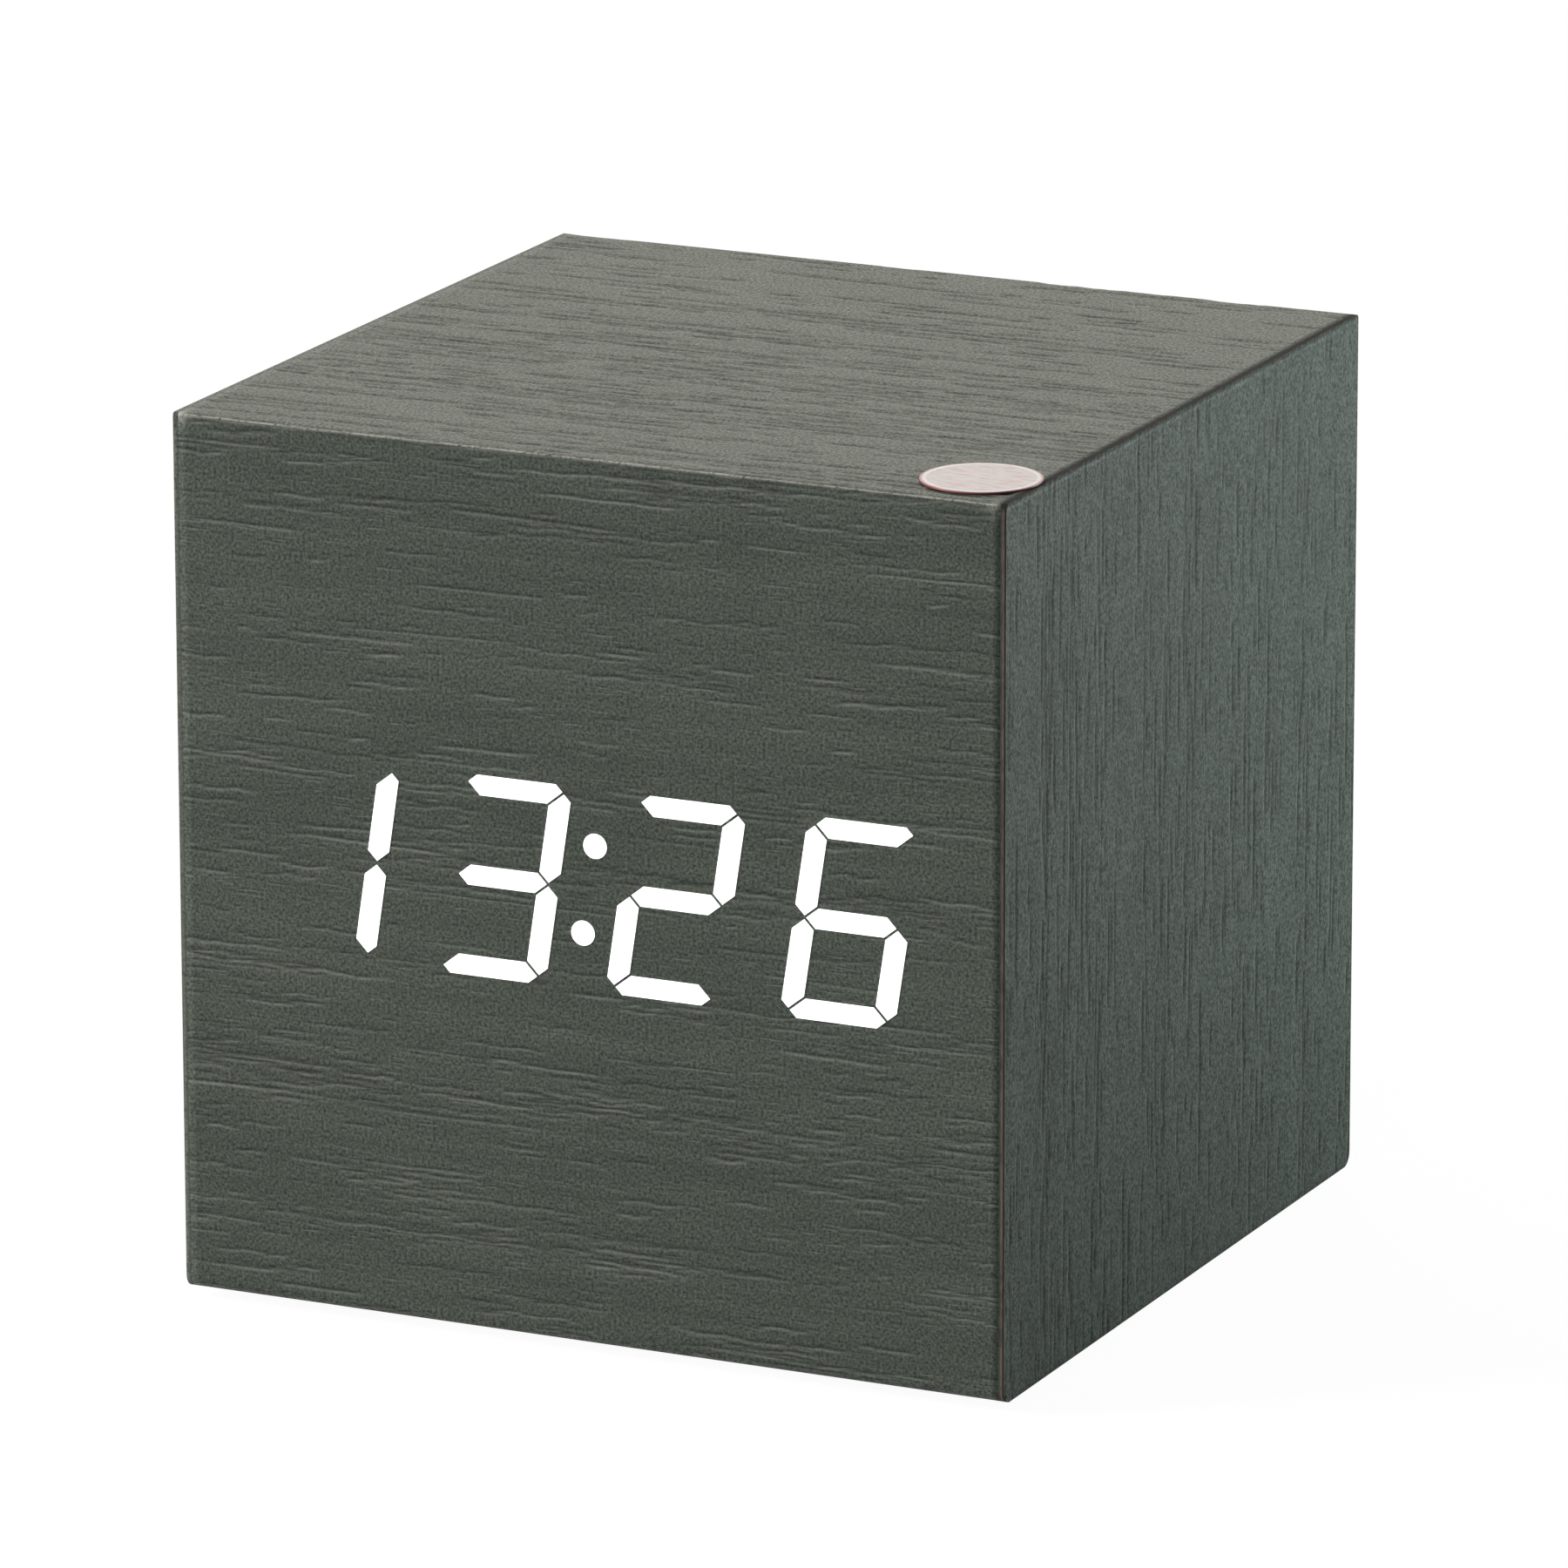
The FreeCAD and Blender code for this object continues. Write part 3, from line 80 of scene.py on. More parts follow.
class Slot(str, Enum):
    """The material slots of the record."""

    FILM = "wood_film"
    BOARD = "fibre_board"
    FOOT = "foot_rubber"
    PAD = "pad_print"
    LIT = "lit_white"
    PLASTIC = "black_plastic"
    BUTTON = "button_plastic"
    MILKY = "milky_plastic"
    CIRCUIT = "circuit_board"
    CHIP = "chip_black"
    SCREW = "steel_screw"
    PLATED = "plated_steel"
    CELL = "cell_jacket"
    COPPER = "copper_foil"
    LEAD = "lead_insulation"
    RIBBON = "ribbon_grey"
    SLEEVE = "capacitor_sleeve"
    CAN = "microphone_can"
    FOAM = "gasket_foam"
    PAPER = "cone_paper"
    MAGNET = "magnet_dark"


class Mark(Enum):
    """The plain marks on the button caps."""

    DOT = 0
    UP = 1
    DOWN = -1


# Shader graphs


def cells(size: float) -> float:
    """The texture scale at which a cell measures this many millimetres."""
    return 1.0 / (size * MM)


def cleared(block: Material | bpy.types.World) -> Tree:
    """The emptied node tree of a material or a world."""
    block.use_nodes = True
    block.node_tree.nodes.clear()
    return block.node_tree


class Graph:
    """A node tree that is wired with short calls."""

    def __init__(self, tree: Tree) -> None:
        """Starts on a material's, world's or group's node tree."""
        self.tree = tree

    def add(self, kind: str, inputs: dict | None = None, **settings: object) -> bpy.types.Node:
        """Adds a node, with its settings and its inputs.

        Args:
            kind: the node's type name without the leading ShaderNode.
            inputs: socket name or number to a value, or to a socket that is linked in.
            **settings: the node's own properties.

        Returns:
            The node.
        """
        node = self.tree.nodes.new("ShaderNode" + kind)
        for name, value in settings.items():
            setattr(node, name, value)
        for name, value in (inputs or {}).items():
            self.feed(node.inputs[name], value)
        return node

    def feed(self, socket: Socket, value: object) -> None:
        """Links a socket into another one, or sets its value.

        Args:
            socket: the socket that takes the value.
            value: a socket, a number, a vector or a colour, which gets full cover.
        """
        if isinstance(value, Socket):
            self.tree.links.new(value, socket)
        else:
            socket.default_value = (*value, 1.0) if socket.type == "RGBA" else value

    def math(self, operation: str, first: object, second: object = 0.0, clamp: bool = False) -> Socket:
        """A sum, product or other result of two numbers."""
        return self.add("Math", {0: first, 1: second}, operation=operation, use_clamp=clamp).outputs[0]

    def times(self, first: object, second: object, clamp: bool = False) -> Socket:
        """The product of two numbers."""
        return self.math("MULTIPLY", first, second, clamp)

    def span(self, value: object, low: float, high: float, to_low: float = 0.0,
             to_high: float = 1.0) -> Socket:
        """Carries a value from one span to another, held at its ends."""
        spans = {"From Min": low, "From Max": high, "To Min": to_low, "To Max": to_high}
        return self.add("MapRange", {"Value": value, **spans}).outputs["Result"]

    def between(self, share: object, first: float, second: float) -> Socket:
        """A number that goes from the first to the second as a share goes from 0 to 1."""
        return self.span(share, 0.0, 1.0, first, second)

    def blend(self, share: object, first: object, second: object, mode: str = "MIX") -> Socket:
        """One colour laid over another by a share."""
        colours = {6: first, 7: second}
        return self.add("Mix", {"Factor": share, **colours}, data_type="RGBA", blend_type=mode).outputs[2]

    def noise(self, vector: object, scale: object, detail: float = 2.0, roughness: float = 0.5) -> Socket:
        """Cloudy noise from 0 to 1."""
        inputs = {"Vector": vector, "Scale": scale, "Detail": detail, "Roughness": roughness}
        return self.add("TexNoise", inputs).outputs[0]

    def stretched(self, vector: object, scale: Triple, shift: Triple = (0.0, 0.0, 0.0)) -> Socket:
        """The coordinates multiplied along each axis, after a shift."""
        moved = self.add("VectorMath", {0: vector, 1: shift}, operation="SUBTRACT").outputs[0]
        return self.add("VectorMath", {0: moved, 1: scale}, operation="MULTIPLY").outputs[0]

    def dimmed(self, colour: Socket, share: Socket) -> Socket:
        """A colour multiplied by a number."""
        return self.add("VectorMath", {0: colour, "Scale": share}, operation="SCALE").outputs[0]

    def axes(self, vector: Socket) -> bpy.types.bpy_prop_collection:
        """The X, Y and Z of a vector, by name."""
        return self.add("SeparateXYZ", {0: vector}).outputs


class Group(Graph):
    """A shader node group in the making, with named inputs and outputs."""

    def __init__(self, name: str, takes: dict[str, float | None], gives: tuple[str, ...]) -> None:
        """Makes the group with its sockets.

        Args:
            name: the group's name.
            takes: input name to its default number, or to None for a vector.
            gives: the names of its outputs, which are numbers.
        """
        super().__init__(bpy.data.node_groups.new(name, "ShaderNodeTree"))
        sockets = self.tree.interface
        for label, default in takes.items():
            kind = "NodeSocketVector" if default is None else "NodeSocketFloat"
            socket = sockets.new_socket(label, in_out="INPUT", socket_type=kind)
            if default is not None:
                socket.default_value = default
        for label in gives:
            sockets.new_socket(label, in_out="OUTPUT", socket_type="NodeSocketFloat")
        self.takes = self.tree.nodes.new("NodeGroupInput").outputs
        self.gives = self.tree.nodes.new("NodeGroupOutput").inputs


class Effects:
    """Shader node groups that several finishes share.

    The cuts are the values of noise between which a mask rises. scuff_patch is the scale of the
    patches that break the scuffs up, as a share of theirs. The pores' bands are band_width pores wide
    and 1 / band_turn pores long, and least_band is the mask between them.
    """

    scuff_stretch: Triple = (1.0, 0.35, 2.2)
    scuff_patch: float = 0.4
    scuff_cut: Pair = (0.5, 0.65)
    band_width: float = 14.0
    band_turn: float = 0.2
    band_cut: Pair = (0.42, 0.60)
    least_band: float = 0.12
    dash_cut: Pair = (0.60, 0.72)
    highlight_shift: float = 0.62

    def __init__(self) -> None:
        """Builds each group once."""
        self.mottle = self.make_mottle()
        self.scuffs = self.make_scuffs()
        self.pores = self.make_pores()

    @staticmethod
    def make_mottle() -> Tree:
        """Fine grain under slow patches: Shade is their mean by Patchiness, Height is the grain alone.

        Returns:
            The group.
        """
        scales = {"Grain Scale": 5000.0, "Patch Scale": 200.0}
        takes = {"Vector": None, **scales, "Patchiness": 0.4, "Contrast": 1.0}
        group = Group("mottle", takes, ("Shade", "Height"))
        vector, share = group.takes["Vector"], group.takes["Patchiness"]
        grain = group.noise(vector, group.takes["Grain Scale"], 2.0, 0.55)
        patch = group.noise(vector, group.takes["Patch Scale"], 3.0, 0.6)
        kept = group.times(grain, group.math("SUBTRACT", 1.0, share))
        mixed = group.math("ADD", kept, group.times(patch, share))
        centred = group.times(group.math("SUBTRACT", mixed, 0.5), group.takes["Contrast"])
        group.feed(group.gives["Shade"], group.math("ADD", group.times(centred, 2.0), 0.5, True))
        group.feed(group.gives["Height"], grain)
        return group.tree

    def make_scuffs(self) -> Tree:
        """Thin scratches and rubbed spots: a narrow band of stretched noise, broken up by slow patches.

        Returns:
            The group.
        """
        takes = {"Vector": None, "Scale": 400.0, "Width": 0.02, "Amount": 1.0}
        group = Group("scuffs", takes, ("Mask",))
        vector, scale = group.takes["Vector"], group.takes["Scale"]
        lines = group.noise(group.stretched(vector, self.scuff_stretch), scale, 1.0, 0.4)
        off = group.math("ABSOLUTE", group.math("SUBTRACT", lines, 0.5))
        thin = group.math("SUBTRACT", 1.0, group.math("DIVIDE", off, group.takes["Width"]), True)
        here = group.span(group.noise(vector, group.times(scale, self.scuff_patch)), *self.scuff_cut)
        group.feed(group.gives["Mask"], group.times(group.times(thin, here), group.takes["Amount"], True))
        return group.tree

    def make_pores(self) -> Tree:
        """Short thin dashes along the grain, gathered in bands, each with a painted highlight just below it.

        Returns:
            The group.
        """
        takes = {"Along": 0.0, "Across": 0.0, "Length": 0.002, "Width": 0.0001, "Amount": 1.0}
        group = Group("pores", takes, ("Dark", "Highlight"))
        across, width = group.takes["Across"], group.takes["Width"]
        along = group.math("DIVIDE", group.takes["Along"], group.takes["Length"])
        band = group.math("DIVIDE", across, group.times(width, self.band_width))
        gathered = group.add("CombineXYZ", {0: group.times(along, self.band_turn), 1: band}).outputs[0]
        bands = group.span(group.noise(gathered, 1.0), *self.band_cut, self.least_band, 1.0)
        amount = group.times(group.takes["Amount"], bands)
        # The second mask is a painted highlight, a pale dash just below each dark one.
        for label, shift in (("Dark", 0.0), ("Highlight", self.highlight_shift)):
            row = group.math("ADD", group.math("DIVIDE", across, width), shift)
            here = group.add("CombineXYZ", {0: along, 1: row}).outputs[0]
            dash = group.span(group.noise(here, 1.0, 1.0, 0.4), *self.dash_cut)
            group.feed(group.gives[label], group.times(dash, amount, True))
        return group.tree


class Paint(Graph):
    """A material in the making: a Principled shader, and the object's own coordinates as the place."""

    def __init__(self, name: str, effects: Effects) -> None:
        """Starts the material.

        Args:
            name: the material's name.
            effects: the shared effects.
        """
        self.material = bpy.data.materials.new(name)
        super().__init__(cleared(self.material))
        self.effects = effects
        self.shader = self.add("BsdfPrincipled")
        self.feed(self.add("OutputMaterial").inputs["Surface"], self.shader.outputs[0])
        self.place = self.add("TexCoord").outputs["Object"]

    def use(self, effect: Tree, inputs: dict) -> bpy.types.bpy_prop_collection:
        """Places a shared effect.

        Args:
            effect: the effect's group.
            inputs: input name to its value or socket.

        Returns:
            The effect's outputs, by name.
        """
        node = self.tree.nodes.new("ShaderNodeGroup")
        node.node_tree = effect
        for name, value in inputs.items():
            self.feed(node.inputs[name], value)
        return node.outputs

    def cloud(self, size: float, detail: float = 2.0, roughness: float = 0.5) -> Socket:
        """Cloudy noise at the place, with cells of a size in millimetres."""
        return self.noise(self.place, cells(size), detail, roughness)

    def mottle(self, grain: float, patch: float, patchiness: float = 0.4,
               contrast: float = 1.0) -> list[Socket]:
        """Places the shared mottle.

        Args:
            grain: the fine grain's cell in millimetres.
            patch: the slow patches' cell in millimetres.
            patchiness: the patches' share.
            contrast: how far the shade goes from its middle.

        Returns:
            Its shade and its height.
        """
        sizes = {"Grain Scale": cells(grain), "Patch Scale": cells(patch)}
        shares = {"Patchiness": patchiness, "Contrast": contrast}
        made = self.use(self.effects.mottle, {"Vector": self.place, **sizes, **shares})
        return [made["Shade"], made["Height"]]

    def close(self, colour: Socket, rough: Socket, levels: dict[str, float], relief: float = 0.0,
              height: Socket | None = None) -> None:
        """Wires the shader.

        Args:
            colour: the base colour.
            rough: the roughness.
            levels: shader input name to the one value that it has all over.
            relief: the depth of the bump in millimetres.
            height: what the bump follows, or None for a plain surface.
        """
        sockets = self.shader.inputs
        self.feed(sockets["Base Color"], colour)
        self.feed(sockets["Roughness"], rough)
        for name, level in levels.items():
            sockets[name].default_value = level
        if height is not None:
            bump = self.add("Bump", {"Strength": 1.0, "Distance": relief * MM, "Height": height})
            self.feed(sockets["Normal"], bump.outputs[0])


# Finishes


class Painted(ABC):
    """A finish with a name, whose wire method colours a paint."""

    name: str

    @abstractmethod
    def wire(self, paint: Paint) -> None:
        """Colours the paint.

        Args:
            paint: the material in the making.
        """

    def build(self, effects: Effects) -> Material:
        """Makes the finish's material.

        Args:
            effects: the shared effects.

        Returns:
            The material.
        """
        paint = Paint(self.name, effects)
        self.wire(paint)
        return paint.material


@dataclass(frozen=True)
class Finish(Painted):
    """A moulded, pressed or plated finish: two shades, a fine grain, slow patches and thin scuffs.

    grain, patch and relief are millimetres. A scuff is the light shade times scuff_gain, plus scuff_lift.
    """

    name: str
    dark: Triple
    light: Triple
    roughness: Pair
    grain: float
    patch: float
    patchiness: float
    relief: float
    metallic: float = 0.0
    scuff: float = 0.0
    specular: float = 0.5
    scuff_gain: float = 1.6
    scuff_lift: float = 0.03

    def wire(self, paint: Paint) -> None:
        """Wires the finish.

        Args:
            paint: the material in the making.
        """
        shade, height = paint.mottle(self.grain, self.patch, self.patchiness)
        colour = paint.blend(shade, self.dark, self.light)
        rough = paint.between(shade, self.roughness[1], self.roughness[0])
        if self.scuff > 0.0:
            mask = paint.use(paint.effects.scuffs, {"Vector": paint.place, "Amount": self.scuff})["Mask"]
            pale = tuple(min(1.0, self.scuff_gain * channel + self.scuff_lift) for channel in self.light)
            colour = paint.blend(mask, colour, pale)
        levels = {"Metallic": self.metallic, "Specular IOR Level": self.specular}
        paint.close(colour, rough, levels, self.relief, height)


@dataclass(frozen=True)
class FilmFinish(Painted):
    """The printed and embossed film: green-grey ground, dark grooves with painted highlights, pores, speckle.

    The pores run along X on the folded sheet, and upright on the sides, each with a painted highlight
    below it. The dark colour of the grooves also lays the folds' painted shade, and the pale colour of
    the folds is abrasion with a painted highlight. speckle and the cells are the sizes of noise in
    millimetres, the shares say how much of a colour covers the ground, and the cuts are the values of
    noise between which a share rises, for the breaks from least_line on.
    """

    name: str
    ground: Triple
    streak: Triple
    upright: bool
    specular: float = 0.22
    # Darkens the grooves, and lays the painted shade of the folds.
    groove_and_shade: Triple = (0.012, 0.014, 0.012)
    # The painted highlight beside the grooves and under the pores.
    lip_and_highlight: Triple = (0.215, 0.230, 0.206)
    # Abrasion, with a painted highlight on the top fold and the sides' front edges.
    worn_and_highlit: Triple = (0.44, 0.43, 0.38)
    tinge: Triple = (1.05, 1.00, 0.99)
    speckle: float = 0.21
    speckle_share: float = 0.66
    patch: float = 5.0
    patchiness: float = 0.06
    contrast: float = 1.5
    tinge_cell: float = 0.4
    tinge_cut: Pair = (0.40, 0.62)
    break_cell: float = 0.45
    break_cut: Pair = (0.36, 0.50)
    least_line: float = 0.45
    nick_cell: float = 0.35
    nick_cut: Pair = (0.34, 0.50)
    lip_highlight_share: float = 0.75
    dark_share: float = 0.95
    pore_length: float = 2.2
    pore_width: float = 0.16
    pore_amount: float = 0.45
    pore_depth: float = 0.8
    roughness: Pair = (0.40, 0.60)
    relief: float = 0.04

    def pores(self, paint: Paint) -> list[Socket]:
        """Places the pores along the grain.

        Args:
            paint: the material in the making.

        Returns:
            The dark dashes and their painted highlights.
        """
        axes = paint.axes(paint.place)
        along, across = axes["Z"], axes["Y"]
        if not self.upright:
            along, across = axes["X"], paint.math("ADD", axes["Y"], axes["Z"])
        ways = {"Along": along, "Across": across}
        sizes = {"Length": self.pore_length * MM, "Width": self.pore_width * MM, "Amount": self.pore_amount}
        made = paint.use(paint.effects.pores, {**ways, **sizes})
        return [made["Dark"], made["Highlight"]]

    def wire(self, paint: Paint) -> None:
        """Wires the film from the mesh's values: the grooves with the folds' painted shade, the painted
        highlights beside the grooves, the streaks, and the abrasion with a painted highlight.

        Args:
            paint: the material in the making.
        """
        groove_and_shade, lip_and_highlight, wear_and_highlight, streak = (
            paint.add("Attribute", attribute_name=label).outputs["Fac"] for label in FILM_VALUES
        )
        shade, height = paint.mottle(self.speckle, self.patch, self.patchiness, self.contrast)
        dark_pores, pore_highlights = self.pores(paint)
        ground = paint.blend(streak, self.ground, self.streak)
        tint = paint.span(paint.cloud(self.tinge_cell, 2.0, 0.6), *self.tinge_cut)
        ground = paint.blend(tint, ground, paint.blend(1.0, ground, self.tinge, "MULTIPLY"))
        dim = paint.between(shade, 1.0 - self.speckle_share, 1.0 + self.speckle_share)
        ground = paint.dimmed(ground, dim)
        breaks = paint.span(paint.cloud(self.break_cell, 2.0, 0.6), *self.break_cut, self.least_line, 1.0)
        light = paint.math("MAXIMUM", paint.times(lip_and_highlight, breaks), pore_highlights)
        # The grooves' darkening also lays the folds' painted shade.
        dark = paint.math("MAXIMUM", paint.times(groove_and_shade, breaks), dark_pores)
        # Lays the painted highlights beside the grooves and pores.
        colour = paint.blend(paint.times(light, self.lip_highlight_share, True), ground, self.lip_and_highlight)
        colour = paint.blend(paint.times(dark, self.dark_share, True), colour, self.groove_and_shade)
        nicks = paint.span(paint.cloud(self.nick_cell, 3.0, 0.7), *self.nick_cut)
        # Lays abrasion, with a painted highlight on the top fold and the sides' front edges.
        colour = paint.blend(paint.times(wear_and_highlight, nicks, True), colour, self.worn_and_highlit)
        rough = paint.between(shade, self.roughness[1], self.roughness[0])
        height = paint.math("SUBTRACT", height, paint.times(dark_pores, self.pore_depth))
        paint.close(colour, rough, {"Specular IOR Level": self.specular}, self.relief, height)


@dataclass(frozen=True)
class CutEdgeFinish(Painted):
    """The film's cut edge: a dark line outside, on the upright edges a brown line and the film's tone within.

    brown_from and line_from are the distances from the clock's middle plane at which the brown and
    the dark line start, and top_from is the height from which the edge is dark but for top_share.
    Elsewhere the dark shows through the strip by fibres, which leave at least least_strip of it.
    """

    name: str = "film_cut_edge"
    dark: Triple = (0.014, 0.010, 0.008)
    brown: Triple = (0.125, 0.098, 0.084)
    inner: Triple = (0.055, 0.064, 0.053)
    brown_from: float = 30.74
    brown_soft: float = 0.04
    line_from: float = 30.84
    line_soft: float = 0.08
    top_from: float = 62.6
    top_soft: float = 0.4
    top_share: float = 0.1
    fibre: float = 0.5
    fibre_stretch: Triple = (6.0, 1.0, 1.0)
    cloud: float = 2.5
    strip_cut: Pair = (0.12, 0.30)
    least_strip: float = 0.35
    rough_cut: Pair = (0.3, 0.7)
    roughness: Pair = (0.75, 0.95)
    relief: float = 0.03

    def wire(self, paint: Paint) -> None:
        """Wires the cut edge.

        Args:
            paint: the material in the making.
        """
        cloud = paint.cloud(self.cloud, 4.0, 0.65)
        fibres = paint.noise(paint.stretched(paint.place, self.fibre_stretch), cells(self.fibre))
        axes = paint.axes(paint.place)
        out = paint.math("ABSOLUTE", axes["X"])
        line, line_to = self.line_from * MM, (self.line_from + self.line_soft) * MM
        top, top_to = self.top_from * MM, (self.top_from + self.top_soft) * MM
        share = paint.span(paint.times(cloud, fibres), *self.strip_cut, self.least_strip, 1.0)
        share = paint.times(share, paint.span(out, line, line_to, 1.0, 0.0))
        share = paint.times(share, paint.span(axes["Z"], top, top_to, 1.0, self.top_share))
        within = paint.span(out, (self.brown_from - self.brown_soft) * MM, self.brown_from * MM)
        strip = paint.blend(within, self.inner, self.brown)
        colour = paint.blend(share, self.dark, strip)
        rough = paint.span(fibres, *self.rough_cut, *self.roughness)
        paint.close(colour, rough, {"Specular IOR Level": 0.15}, self.relief, fibres)


@dataclass(frozen=True)
class LitFinish(Painted):
    """Light that shines through the film: white, a trace dimmer where the film is thick."""

    name: str = Slot.LIT.value
    thick: Triple = (0.82, 0.88, 0.85)
    thin: Triple = (0.95, 0.97, 0.97)
    thick_glow: Triple = (0.93, 0.99, 0.96)
    cloud: float = 0.4
    thin_cut: Pair = (0.3, 0.5)
    roughness: Pair = (0.4, 0.6)

    def wire(self, paint: Paint) -> None:
        """Wires the light.

        Args:
            paint: the material in the making.
        """
        cloud = paint.cloud(self.cloud)
        share = paint.span(cloud, *self.thin_cut)
        glow = paint.blend(share, self.thick_glow, WHITE)
        paint.feed(paint.shader.inputs["Emission Color"], glow)
        colour = paint.blend(share, self.thick, self.thin)
        rough = paint.between(cloud, self.roughness[1], self.roughness[0])
        paint.close(colour, rough, {"Emission Strength": 1.0})


@dataclass(frozen=True)
class PadFinish(Painted):
    """The touch mark's print: pale pink with wavering reddish streaks, a white ring and a dark red rim.

    ring_at, ring_width, rim_from and rim_soft are shares of the mark's radius, and the scales count
    cells of noise in it. The cuts are the values of noise between which a share rises.
    """

    centre: Pair
    radius: float
    name: str = Slot.PAD.value
    ring_at: float = 0.918
    ring_width: float = 0.045
    rim_from: float = 0.956
    rim_soft: float = 0.02
    deep: Triple = (0.50, 0.435, 0.455)
    pale: Triple = (0.60, 0.545, 0.565)
    streak: Triple = (0.48, 0.20, 0.22)
    ring: Triple = (0.92, 0.89, 0.89)
    rim: Triple = (0.27, 0.080, 0.090)
    pale_scale: float = 2.2
    pale_cut: Pair = (0.35, 0.65)
    streak_scale: float = 2.6
    streak_stretch: Triple = (1.0, 4.0, 1.0)
    streak_cut: Pair = (0.48, 0.64)
    streak_share: float = 0.85
    break_scale: float = 1.1
    break_cut: Pair = (0.35, 0.6)
    least_ring: float = 0.45
    roughness: Pair = (0.25, 0.45)
    relief: float = 0.02

    def wire(self, paint: Paint) -> None:
        """Wires the print by the distance from the mark's middle.

        Args:
            paint: the material in the making.
        """
        unit = cells(self.radius)
        middle = (self.centre[0] * MM, self.centre[1] * MM, 0.0)
        flat = paint.stretched(paint.place, (unit, unit, 0.0), middle)
        out = paint.add("VectorMath", {0: flat}, operation="LENGTH").outputs["Value"]
        wave = paint.noise(paint.stretched(flat, self.streak_stretch), self.streak_scale, 3.0, 0.6)
        cloud = paint.noise(flat, self.pale_scale, 3.0, 0.55)
        colour = paint.blend(paint.span(cloud, *self.pale_cut), self.deep, self.pale)
        streaks = paint.span(wave, *self.streak_cut, 0.0, self.streak_share)
        colour = paint.blend(streaks, colour, self.streak)
        off_ring = paint.math("ABSOLUTE", paint.math("SUBTRACT", out, self.ring_at))
        breaks = paint.span(paint.noise(flat, self.break_scale), *self.break_cut, self.least_ring, 1.0)
        ring = paint.times(paint.span(off_ring, 0.0, self.ring_width, 1.0, 0.0), breaks)
        colour = paint.blend(ring, colour, self.ring)
        colour = paint.blend(paint.span(out, self.rim_from, self.rim_from + self.rim_soft), colour, self.rim)
        paint.close(colour, paint.between(cloud, *self.roughness), {}, self.relief, wave)


@dataclass(frozen=True)
class BoardFinish(Painted):
    """Fibre board: short pressed fibres over brown patches, stained darker towards the open rear."""

    name: str = Slot.BOARD.value
    dark: Triple = (0.11, 0.066, 0.036)
    light: Triple = (0.23, 0.150, 0.085)
    stain: Triple = (0.022, 0.018, 0.015)
    stain_from: float = 29.2
    stain_to: float = 30.2
    stain_share: float = 0.82
    grain: float = 0.35
    patch: float = 3.0
    contrast: float = 1.4
    roughness: Pair = (0.78, 0.92)
    relief: float = 0.05

    def wire(self, paint: Paint) -> None:
        """Wires the board.

        Args:
            paint: the material in the making.
        """
        shade, height = paint.mottle(self.grain, self.patch, contrast=self.contrast)
        wood = paint.blend(shade, self.dark, self.light)
        depth = paint.axes(paint.place)["Y"]
        stained = paint.span(depth, self.stain_from * MM, self.stain_to * MM, 0.0, self.stain_share)
        colour = paint.blend(stained, wood, self.stain)
        rough = paint.between(shade, self.roughness[1], self.roughness[0])
        paint.close(colour, rough, {}, self.relief, height)


@dataclass(frozen=True)
class CircuitFinish(Painted):
    """A circuit board: green resist over a net of slightly raised tracks."""

    name: str = Slot.CIRCUIT.value
    dark: Triple = (0.012, 0.085, 0.035)
    light: Triple = (0.022, 0.125, 0.055)
    track: Triple = (0.05, 0.21, 0.09)
    mesh: float = 1.6
    track_cut: Pair = (0.08, 0.14)
    cloud: float = 5.0
    roughness: Pair = (0.30, 0.45)
    relief: float = 0.03

    def wire(self, paint: Paint) -> None:
        """Wires the board.

        Args:
            paint: the material in the making.
        """
        net = {"Vector": paint.place, "Scale": cells(self.mesh)}
        lines = paint.add("TexVoronoi", net, feature="DISTANCE_TO_EDGE", distance="EUCLIDEAN")
        track = paint.span(lines.outputs["Distance"], *self.track_cut, 1.0, 0.0)
        cloud = paint.cloud(self.cloud, 3.0)
        ground = paint.blend(cloud, self.dark, self.light)
        colour = paint.blend(track, ground, self.track)
        paint.close(colour, paint.between(cloud, *self.roughness), {}, self.relief, track)


@dataclass(frozen=True)
class StripedFinish(Painted):
    """Stripes along one axis, as on a flat cable, over a fine mottle: one colour in each even width."""

    name: str
    colours: tuple[Triple, Triple]
    axis: str
    width: float
    start: float
    roughness: float
    rough_spread: float = 0.08
    grain: float = 0.2
    patch: float = 4.0
    shades: Pair = (0.85, 1.12)
    relief: float = 0.01

    def wire(self, paint: Paint) -> None:
        """Wires the stripes.

        Args:
            paint: the material in the making.
        """
        here = paint.axes(paint.place)[self.axis]
        turns = paint.math("DIVIDE", paint.math("SUBTRACT", here, self.start * MM), 2.0 * self.width * MM)
        second = paint.math("GREATER_THAN", paint.math("FRACT", turns), 0.5)
        shade, height = paint.mottle(self.grain, self.patch)
        striped = paint.blend(second, self.colours[0], self.colours[1])
        colour = paint.dimmed(striped, paint.between(shade, *self.shades))
        low, high = self.roughness - self.rough_spread, self.roughness + self.rough_spread
        paint.close(colour, paint.between(shade, high, low), {}, self.relief, height)


